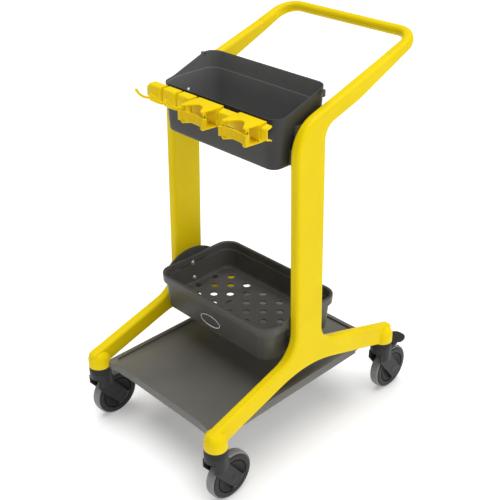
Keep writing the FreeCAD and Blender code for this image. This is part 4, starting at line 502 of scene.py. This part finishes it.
basket = piece("lower_basket_shell", v, f, [DARK_TRAY, TRAY_IN_PAINTED_LIGHT], "cart_body", ["lower_basket"], "dark_moulding", angle=50, poly_mat=basket_side)
cutters = []
hole, pitch = 11.0, 17.2
reach_x = 227.0 - 8 - 8 - 3.6 - 1.35 * hole
reach_y = 146.0 - 8 - 8 - 3.6 - 1.35 * hole
for a in range(-13, 14):
    for b in range(-9, 10):
        if a % 2 == 0 or b % 2 == 0 or (a + b) % 4 != 0:
            continue
        x, y = a * pitch, b * pitch
        if abs(x) > reach_x or abs(y) > reach_y:
            continue
        if math.hypot(max(abs(x) - (reach_x - 18), 0), max(abs(y) - (reach_y - 18), 0)) > 20:
            continue
        ring = [(140.0, hole), (158.0, hole)]
        rings = []
        for zz, rr in ring:
            rings.append([W(x + rr * math.cos(2 * math.pi * k / 40), BK_MID + y + rr * math.sin(2 * math.pi * k / 40), zz) for k in range(40)])
        cutters.append(shell(rings))
v, f = join(cutters)
cut_me = bpy.data.meshes.new("hole_cutters")
cut_me.from_pydata([tuple(p) for p in v], [], f)
cut_ob = link(bpy.data.objects.new("hole_cutters", cut_me))
bo = basket.modifiers.new("holes", "BOOLEAN")
bo.object = cut_ob
bo.operation = "DIFFERENCE"
bo.solver = "EXACT"
baked(basket)
finish_mesh(basket.data, 30)
wn = basket.modifiers.new("shade", "WEIGHTED_NORMAL")
wn.keep_sharp = True
baked(basket)
bpy.data.objects.remove(cut_ob)
bpy.data.meshes.remove(cut_me)

# mounting ears: crescent pads that lean with the side frames
TILT = math.radians(1.375)


def inner_face(z):
    return 250.0 - 15.0 - math.tan(TILT) * (z - 20.0)


ear_pts = []
EY = 341.5
for k in range(29):
    t = -1 + 2 * k / 28.0
    top = 262.0 - 25.0 * abs(t) ** 2.1
    ear_pts.append((EY + t * 80.0, top))
ear_low = [(EY + 47.0, 212.0), (EY + 36.0, 160.0), (EY + 31.0, 151.0), (EY - 31.0, 151.0), (EY - 36.0, 160.0), (EY - 47.0, 212.0)]
outline = ear_pts + ear_low
for side, nm in ((1, "right"), (-1, "left")):
    verts, faces = [], []
    n = len(outline)
    for inner in (True, False):
        for y, z in outline:
            if inner:
                x = BK_HALF - (1.6 if z > 213 else bk_wall(z) + 2.0)
            else:
                x = inner_face(z) - 0.4
            verts.append(W(side * x, y, z))
    faces = [tuple(range(n)), tuple(range(n, 2 * n))[::-1]]
    for k in range(n):
        faces.append((k, (k + 1) % n, n + (k + 1) % n, n + k))
    ear = piece("basket_ear_" + nm, verts, faces, DARK_TRAY, "cart_body", slot="dark_moulding")
    bevel(ear, 0.0016, 4, 50)
    finish_mesh(ear.data, 40)

# plain oval outline where the badge sits: a raised ring, thicker towards the bottom
slope = math.atan2(8.0, 111.0)
out_dir = Vector((0, -math.cos(slope), -math.sin(slope)))
up_dir = Vector((0, -math.sin(slope), math.cos(slope)))


def on_front(x, s, out):
    """Point on the basket's front: x across from the badge's middle, s up along the wall."""
    y_face = BK_F + bk_wall(160.0)
    return W(x - 10.0, y_face, 160.0) + (up_dir * s + out_dir * out) * K


verts, faces = [], []
n = 120
for k in range(n):
    t = 2 * math.pi * k / n
    c, s = math.cos(t), math.sin(t)
    width = 1.7 + 2.0 * max(0.0, -s) ** 1.5
    ax, ay = 39.6, 18.6
    rows = [(0.0, 0.05), (0.12, 0.55), (0.5, 0.7), (0.88, 0.55), (1.0, 0.05)]
    for f_, o in rows:
        verts.append(on_front((ax - width * f_) * c, (ay - width * f_) * s, o))
for k in range(n):
    k2 = (k + 1) % n
    for i in range(4):
        faces.append((k * 5 + i, k * 5 + i + 1, k2 * 5 + i + 1, k2 * 5 + i))
    faces.append((k * 5 + 4, k * 5, k2 * 5, k2 * 5 + 4))
piece("badge_outline", verts, faces, PRINT, "cart_body", ["badge_plate"], "grey_print", angle=60)
# the badge's own thin oval field, domed a little
verts, faces = [on_front(0, 0, 0.45)], []
rings_n = [(0.35, 0.44), (0.7, 0.40), (0.95, 0.30), (1.0, 0.04)]
for fr, o in rings_n:
    for k in range(n):
        t = 2 * math.pi * k / n
        verts.append(on_front(38.6 * fr * math.cos(t), 17.6 * fr * math.sin(t), o))
for k in range(n):
    faces.append((0, 1 + k, 1 + (k + 1) % n))
for i in range(len(rings_n) - 1):
    for k in range(n):
        a, b = 1 + i * n + k, 1 + i * n + (k + 1) % n
        faces.append((a, a + n, b + n, b))
faces.append(tuple(range(1 + 3 * n, 1 + 4 * n)))
piece("badge_field", verts, faces, DARK, "cart_body", slot="dark_moulding", angle=60)

# ------------------------------------------------------------------ rail holders
RAIL_F = 212.0
H_LO, H_HI, CLAW, ZM = 764.5, 812.5, 233.0, 788.5


def carrier_outline(front, ease=0.3):
    """C-shaped section that wraps the rail and hooks behind its two flared lips."""
    half = (H_HI - H_LO) / 2 - ease
    inner = [(230.4, 17.6), (230.4, 20.0), (229.9, 20.0), (222.9, 17.0), (215.7, 15.8), (212.5, 13.5), (211.6, 10.0)]
    pts = [(front, ZM + half), (CLAW, ZM + half), (CLAW, ZM + 17.6)]
    pts += [(y, ZM + h) for y, h in inner] + [(y, ZM - h) for y, h in inner[::-1]]
    return pts + [(CLAW, ZM - 17.6), (CLAW, ZM - half), (front, ZM - half)]


def rounded_block(x0, x1, front, r=5.0, rx=6.0, n=6):
    """Front pad of a holder: a slab whose outline in XZ has round corners and whose front edge is eased."""
    rings = []
    cz, hz = (H_LO + H_HI) / 2, (H_HI - H_LO) / 2
    cx, hx = (x0 + x1) / 2, (x1 - x0) / 2

    def ring(y, ins):
        pts = rr_ring(hx - ins, hz - ins, rx, 0, nc=6, nx=6, ny=6)
        return [W(cx + a, y, cz + b) for a, b in pts]
    stations = [(RAIL_F - 0.4, 0.0)]
    for k in range(n + 1):
        t = math.pi / 2 * k / n
        stations.append((front + r * (1 - math.sin(t)), r * (1 - math.cos(t))))
    for y, ins in stations:
        rings.append(ring(y, ins))
    return shell(rings)


for k in range(3):
    xc = -184.5 + 57.0 * k
    parts = [rounded_block(xc - 25, xc + 25, 205.8, 5.6, 7.0)]
    ob = piece("hook_%d_block" % (k + 1), *join(parts), YELLOW_SMALL, "hook_%d" % (k + 1), ["hook_module_%d" % (k + 1)],
               "yellow_moulding", angle=45)
    claws = prism(carrier_outline(RAIL_F - 1.2), xc - 24.7, xc + 24.7)
    cl = piece("hook_%d_claws" % (k + 1), *claws, YELLOW_SMALL, "hook_%d" % (k + 1), slot="yellow_moulding")
    bevel(cl, 0.0006, 2, 40)
    # side flange: a thin step along the block's right-hand edge
    fl = prism([(208.4, H_LO + 5.0), (208.4, H_HI - 5.0), (213.5, H_HI - 1.0), (213.5, H_LO + 1.0)], xc + 22.6, xc + 25.5)
    fo = piece("hook_%d_flange" % (k + 1), *fl, YELLOW_SMALL, "hook_%d" % (k + 1), slot="yellow_moulding")
    bevel(fo, 0.0009, 3, 40)
    # rod: flared root, straight run, then an upward sweep with a rounded end
    path, rad = [], []
    for y, r in ((207.6, 8.2), (205.9, 7.6), (204.6, 6.1), (203.2, 4.9), (201.8, 4.2), (200.6, 3.8)):
        path.append(W(xc, y, 784.0)); rad.append(r * K)
    yb, zb = 205.8 - 6.0, 784.0 + 56.0
    for j in range(0, 25):
        a = math.radians(64.0 * j / 24)
        path.append(W(xc, yb - 56.0 * math.sin(a), zb - 56.0 * math.cos(a)))
        rad.append((3.5 + (0.42 if j > 21 else 0.0) * (j - 21) / 3.0) * K)
    tip = path[-1]
    dirn = (path[-1] - path[-2]).normalized()
    for j in range(1, 7):
        a = math.pi / 2 * j / 6
        path.append(tip + dirn * (3.92 * K * math.sin(a)))
        rad.append(max(3.92 * K * math.cos(a), 1e-5))
    rod = tube(path, rad, 24)
    piece("hook_%d_rod" % (k + 1), *rod, YELLOW_SMALL, "hook_%d" % (k + 1), slot="yellow_moulding", angle=60)


def smooth_outline(points, steps=6):
    """Closed Catmull-Rom through the marked points; a third value of 0 keeps a corner sharp."""
    out = []
    n = len(points)
    for i in range(n):
        p0, p1, p2, p3 = (points[(i + j - 1) % n] for j in range(4))
        if p1[2] == 0 and p2[2] == 0:
            out.append((p1[0], p1[1]))
            continue
        m1 = ((p2[0] - p0[0]) * 0.5, (p2[1] - p0[1]) * 0.5) if p1[2] else (p2[0] - p1[0], p2[1] - p1[1])
        m2 = ((p3[0] - p1[0]) * 0.5, (p3[1] - p1[1]) * 0.5) if p2[2] else (p2[0] - p1[0], p2[1] - p1[1])
        for s in range(steps):
            t = s / steps
            h00, h10 = 2 * t**3 - 3 * t**2 + 1, t**3 - 2 * t**2 + t
            h01, h11 = -2 * t**3 + 3 * t**2, t**3 - t**2
            out.append((h00 * p1[0] + h10 * m1[0] + h01 * p2[0] + h11 * m2[0],
                        h00 * p1[1] + h10 * m1[1] + h01 * p2[1] + h11 * m2[1]))
    return out


for k, xc in enumerate((7.5, 154.0)):
    body = "grip_%d" % (k + 1)
    claws = prism(carrier_outline(RAIL_F - 3.0, 0.35), xc - 43.6, xc + 43.6)
    back = piece(body + "_back", *claws, YELLOW_SMALL, body, ["grip_module_%d" % (k + 1)], "yellow_moulding")
    bevel(back, 0.0005, 2, 40)
    finish_mesh(back.data, 40)
    half = [(44, 232.6, 0), (44, 205.8, 1), (41.6, 181, 1), (40.4, 170.6, 1), (38.8, 166.6, 1), (35.6, 165.4, 1), (32.2, 166.4, 1), (29.4, 170.4, 1),
            (21.5, 179.6, 1), (14, 189.6, 1), (7, 194.8, 1), (0, 196.2, 1)]
    pts = half + [(-x, y, s) for x, y, s in half[:-1][::-1]]
    line = smooth_outline(pts)
    for tag, z0, z1 in (("top", H_HI - 3.8, H_HI), ("low", H_LO, H_LO + 3.6)):
        pl = prism([(xc + x, y) for x, y in line], z0, z1, "xy")
        ob = piece("%s_%s_plate" % (body, tag), *pl, YELLOW_SMALL, body, slot="yellow_moulding")
        bevel(ob, 0.0009, 3, 50)
        finish_mesh(ob.data, 40)
    posts = []
    for sx in (-1, 1):
        # corner post between the two plates
        xa, xb = sorted((xc + sx * 34.2, xc + sx * 40.8))
        posts.append(prism([(169.7, H_LO + 1.5), (169.7, H_HI - 2.2), (178.2, H_HI - 2.2), (178.2, H_LO + 1.5)], xa, xb))
    ob = piece(body + "_posts", *join(posts), YELLOW_SMALL, body, slot="yellow_moulding")
    bevel(ob, 0.0011, 3, 40)
    finish_mesh(ob.data, 40)
    # painted shade: thin near-black sheets on the posts' outer faces stand in for the shade in their slots
    slot_shade_sheets = []
    for sx in (-1, 1):
        xs = xc + sx * 40.85
        xa, xb = sorted((xs, xs + sx * 0.25))
        slot_shade_sheets.append(prism([(171.4, H_LO + 27.0), (171.4, H_LO + 38.0), (174.2, H_LO + 38.0), (174.2, H_LO + 27.0)], xa, xb))
        slot_shade_sheets.append(prism([(171.9, H_LO + 10.0), (171.9, H_LO + 22.0), (173.7, H_LO + 22.0), (173.7, H_LO + 10.0)], xa, xb))
    piece(body + "_post_slot_shade", *join(slot_shade_sheets), DARK_HUB, body, slot="dark_moulding")

    # ribbed band: outer face with shallow vertical ribs, ends folded round the posts
    zlo, zhi = 771.8, 796.7
    N = 256
    rows = []
    for j in range(N + 1):
        t = -1 + 2.0 * j / N
        x = xc + t * 45.5
        bow = 6.8 * (1 - t * t)
        ph = (t + 0.84) / 1.68 * 16.0
        fr = abs((ph % 1.0) - 0.5) * 2.0
        rib = 0.0
        if 0.0 <= ph <= 16.0:
            rib = 1.25 * min(1.0, max(0.0, (fr - 0.45) / 0.25))
        y_out = 161.8 + bow + rib
        y_in = 165.9 + bow
        rows.append((x, y_out, y_in))
    verts, faces = [], []
    prof = lambda yo, yi: [(yi, zlo + 0.5), (yi - 0.5, zlo), (yo + 0.8, zlo), (yo, zlo + 0.8), (yo, zhi - 0.8), (yo + 0.8, zhi), (yi - 0.5, zhi), (yi, zhi - 0.5)]
    for x, yo, yi in rows:
        for y, z in prof(yo, yi):
            verts.append(W(x, y, z))
    m = 8
    for j in range(N):
        for i in range(m):
            i2 = (i + 1) % m
            faces.append((j * m + i, j * m + i2, (j + 1) * m + i2, (j + 1) * m + i))
    faces.append(tuple(range(m))[::-1])
    faces.append(tuple(range(N * m, N * m + m)))
    piece(body + "_band", verts, faces, BAND, body, ["grip_band_%d" % (k + 1)], "yellow_rubber", angle=28)
    ends = []
    for sx in (-1, 1):
        xa, xb = sorted((xc + sx * 41.0, xc + sx * 46.8))
        ends.append(prism([(161.0, zlo - 0.6), (161.0, zhi + 0.6), (175.0, zhi - 1.0), (175.0, zlo + 1.0)], xa, xb))
        xa, xb = sorted((xc + sx * 33.0, xc + sx * 38.5))
        ends.append(prism([(162.6, zlo - 3.6), (162.6, zlo + 1.0), (167.8, zlo + 1.0), (167.8, zlo - 3.6)], xa, xb))
    ob = piece(body + "_band_ends", *join(ends), BAND, body, slot="yellow_rubber")
    bevel(ob, 0.0014, 4, 40)
    finish_mesh(ob.data, 40)

# ------------------------------------------------------------------ casters
WHEELS = {"front_left": (-250.0, 0.0), "front_right": (250.0, 0.0), "rear_left": (-250.0, 684.5), "rear_right": (250.0, 684.5)}


def mirrored(right_half):
    """Closed profile from its x >= 0 half, which runs from the inner radius outwards to the crown."""
    return right_half + [(-x, r) for x, r in right_half[::-1] if x > 1e-6]


tyre_half = [(13.4, 49.4), (14.6, 49.5), (15.7, 50.2), (16.2, 51.4), (16.45, 54.0), (16.5, 58.0), (16.3, 61.8), (15.9, 63.6), (15.2, 64.7),
             (14.2, 65.3), (13.75, 65.5), (13.6, 66.0), (13.35, 67.0), (12.7, 68.5), (11.6, 69.6), (10.0, 70.3), (7.0, 70.75), (3.5, 70.95), (0.0, 71.0)]
hub_half = [(13.0, 49.3), (11.2, 49.2), (11.1, 47.3), (12.2, 46.9), (14.5, 46.7), (15.3, 46.2), (15.5, 45.4), (15.2, 44.4), (14.2, 40.0),
            (12.9, 34.0), (11.6, 28.0), (10.6, 22.0), (10.1, 16.0), (9.95, 12.0), (9.95, 4.1)]
for name, (sx, sy) in WHEELS.items():
    c = (sx, sy + 42.8, -119.5)
    cx_m = W(*c)

    def tread_or_side(p, cc=cx_m):
        return 0 if math.hypot(p.y - cc.y, p.z - cc.z) > 65.75 * K else 1
    v, f = lathe_x(mirrored(tyre_half), c, 128)
    piece(name + "_tyre_body", v, f, [TREAD, DARK_CASTER], name + "_wheel", [name + "_tyre"], "tyre_tread", angle=42, face_mat=tread_or_side)
    outer = [(x, r) for x, r in hub_half]
    prof = outer + [(-x, r) for x, r in outer[::-1]]
    v, f = lathe_x(prof, c, 112)
    parts = [(v, f)]
    v, f = join(parts)
    piece(name + "_hub_disc", v, f, DARK_HUB, name + "_wheel", [name + "_wheel_hub"], "dark_moulding", angle=38)


def remeshed_from(node, name, mat, body, voxel, extra=(), smooth=6):
    """The CAD solid's own surface plus extra closed parts, resampled so that its edges blend."""
    src = NODES[node].data
    verts = [v.co.copy() for v in src.vertices]
    faces = [tuple(p.vertices) for p in src.polygons]
    v, f = join([(verts, faces)] + list(extra))
    me = bpy.data.meshes.new(name)
    me.from_pydata([tuple(p) for p in v], [], f)
    bm = bmesh.new()
    bm.from_mesh(me)
    bmesh.ops.remove_doubles(bm, verts=bm.verts, dist=1e-6)
    bm.to_mesh(me)
    bm.free()
    ob = link(bpy.data.objects.new(name, me))
    r = ob.modifiers.new("skin", "REMESH")
    r.mode = "VOXEL"
    r.voxel_size = voxel
    r.adaptivity = 0.0
    s = ob.modifiers.new("ease", "SMOOTH")
    s.factor = 0.5
    s.iterations = smooth
    d = ob.modifiers.new("thin", "DECIMATE")
    d.decimate_type = "COLLAPSE"
    d.ratio = 0.35
    baked(ob)
    ob.data.materials.clear()
    ob.data.materials.append(mat)
    finish_mesh(ob.data, 55)
    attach(ob, body)
    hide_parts(node)
    return ob


for name, (sx, sy) in WHEELS.items():
    extra = []
    cy, cz = sy + 42.8, -119.5
    for side in (1, -1):
        # rounded lower end of the leg, sloping in towards the wheel's groove
        steps = 20
        vs, fs = [], []
        for k in range(steps + 1):
            a = math.radians(-95 + 83.0 * k / steps)
            for x, r in ((17.6, 24.0), (24.3, 24.0), (24.3, 30.0), (22.6, 36.0), (18.4, 44.2), (17.6, 44.8)):
                vs.append(W(sx + side * x, cy + r * math.cos(a), cz + r * math.sin(a)))
        for k in range(steps):
            for i in range(6):
                i2 = (i + 1) % 6
                fs.append((k * 6 + i, k * 6 + i2, k * 6 + 6 + i2, k * 6 + 6 + i))
        fs.append(tuple(range(6))[::-1])
        fs.append(tuple(range(steps * 6, steps * 6 + 6)))
        extra.append((vs, fs))
        # soft square pad over the axle's end
        pad_ = []
        for x, ins in ((22.0, 0.0), (24.6, 0.0), (25.2, 0.5), (25.4, 1.4)):
            pad_.append([W(sx + side * x, cy + yy, cz + zz) for yy, zz in rr_ring(9.5 - ins, 9.5 - ins, 3.5, 0.0, nc=6, nx=4, ny=4)])
        extra.append(shell(pad_))
    remeshed_from(name + "_caster_fork", name + "_fork_body", DARK_CASTER, name + "_swivel", 0.00095, extra, 5)

    # two near-black lines round the swivel head, painted shade standing in for its two grooves
    lines = []
    for zc in (-13.6, -19.2):
        vs, fs, n = [], [], 96
        for k in range(n):
            t = 2 * math.pi * k / n
            for r, z in ((31.5, zc - 0.45), (32.12, zc - 0.45), (32.12, zc + 0.45), (31.5, zc + 0.45)):
                vs.append(W(sx + r * math.cos(t), sy + r * math.sin(t), z))
        for k in range(n):
            k2 = (k + 1) % n
            for i in range(4):
                fs.append((k * 4 + i, k * 4 + (i + 1) % 4, k2 * 4 + (i + 1) % 4, k2 * 4 + i))
        lines.append((vs, fs))
    piece(name + "_head_lines", *join(lines), GROOVE_SHADE, name + "_swivel", slot="dark_moulding")

# flanged bolt heads inside the bin and the basket
flanges = []
for z, xw in ((166.0, 210.6), (216.0, 215.2), (704.0, 201.3), (761.0, 204.0)):
    for side in (1, -1):
        prof = [(side * (xw + 0.5), 3.3), (side * (xw + 0.5), 8.4), (side * (xw - 0.5), 8.6), (side * (xw - 1.2), 8.2), (side * (xw - 2.0), 7.0),
                (side * (xw - 2.3), 3.3)]
        flanges.append(lathe_x(prof, (0.0, 341.5, z), 40))
piece("bolt_flanges", *join(flanges), CHROME, "cart_body", slot="bolt_steel", angle=40)

# ------------------------------------------------------------------ carried-over CAD nodes
KEEP = {
    "right_side_frame": YELLOW, "left_side_frame": YELLOW, "push_handle": YELLOW, "tool_rail": YELLOW_SMALL,
    "right_bin_bracket": DARK, "left_bin_bracket": DARK, "bottom_shelf": SHELF, "caster_caps": DARK_CASTER,
    "caster_stems": ZINC, "handle_screws": CHROME, "bin_bolts": CHROME, "basket_bolts": CHROME, "shelf_screws": DARK_CASTER,
    "rail_screws": ZINC}
for c in WHEELS:
    KEEP[c + "_axle"] = ZINC
    if c.startswith("rear"):
        KEEP[c + "_brake_pedal"] = DARK_CASTER
        KEEP[c + "_pedal_pin"] = ZINC
for n, m in KEEP.items():
    o = NODES[n]
    o.data.materials.clear()
    o.data.materials.append(m)

# ------------------------------------------------------------------ floor, light, camera
me = bpy.data.meshes.new("studio_floor")
me.from_pydata([(-20, -20, -0.0002), (20, -20, -0.0002), (20, 20, -0.0002), (-20, 20, -0.0002)], [], [(0, 1, 2, 3)])
floor = link(bpy.data.objects.new("studio_floor", me))
fm, fnt, fb = new_mat("pale_floor")
fcol = ramp(fnt, noise(fnt, coords(fnt), 0.8, 3.0), [(0.3, (0.90, 0.90, 0.90)), (0.7, (0.93, 0.93, 0.93))])
fnt.links.new(fcol, fb.inputs["Base Color"])
fb.inputs["Roughness"].default_value = 0.9
fb.inputs["Specular IOR Level"].default_value = 0.1
fb.inputs["Emission Color"].default_value = (1.0, 1.0, 1.0, 1.0)
fb.inputs["Emission Strength"].default_value = 0.24
me.materials.append(fm)

world = bpy.data.worlds.new("studio")
bpy.context.scene.world = world
world.use_nodes = True
bg = world.node_tree.nodes.get("Background") or world.node_tree.nodes.new("ShaderNodeBackground")
bg.inputs["Color"].default_value = (1.0, 1.0, 1.0, 1.0)
bg.inputs["Strength"].default_value = 0.135


def soft_sun(name, towards, power, spread_deg):
    """Wide, soft, even light that comes from the direction given."""
    li = bpy.data.lights.new(name, "SUN")
    li.energy = power
    li.angle = math.radians(spread_deg)
    ob = link(bpy.data.objects.new(name, li))
    d = -Vector(towards).normalized()
    ob.location = Vector(towards) * 4.0
    ob.rotation_mode = "QUATERNION"
    ob.rotation_quaternion = d.to_track_quat("-Z", "Y")
    return ob


soft_sun("key", (0.84, 0.06, 0.54), 0.98, 70.0)
soft_sun("top", (-0.05, 0.06, 0.99), 2.75, 60.0)

cam_data = bpy.data.cameras.new("camera")
cam = link(bpy.data.objects.new("camera", cam_data))
cam_data.sensor_width = 36.0
cam_data.sensor_height = 36.0
cam_data.sensor_fit = "HORIZONTAL"
cam_data.lens = 64.64
cam_data.clip_start, cam_data.clip_end = 0.05, 100.0
az, el, roll = math.radians(45.563), math.radians(29.404), math.radians(-0.165)
back = Vector((math.sin(az) * math.cos(el), -math.cos(az) * math.cos(el), math.sin(el)))
fwd = -back
right = fwd.cross(Vector((0, 0, 1))).normalized()
up = right.cross(fwd)
r0, r1 = right, -up
c_, s_ = math.cos(roll), math.sin(roll)
q0 = r0 * c_ - r1 * s_
q1 = r0 * s_ + r1 * c_
cam.matrix_world = Matrix(((q0.x, -q1.x, back.x, 1.511904), (q0.y, -q1.y, back.y, -1.494230), (q0.z, -q1.z, back.z, 1.697741), (0, 0, 0, 1)))
bpy.context.scene.camera = cam

sc = bpy.context.scene
sc.view_settings.view_transform = "Standard"
sc.view_settings.look = "None"
sc.view_settings.exposure = 0.0
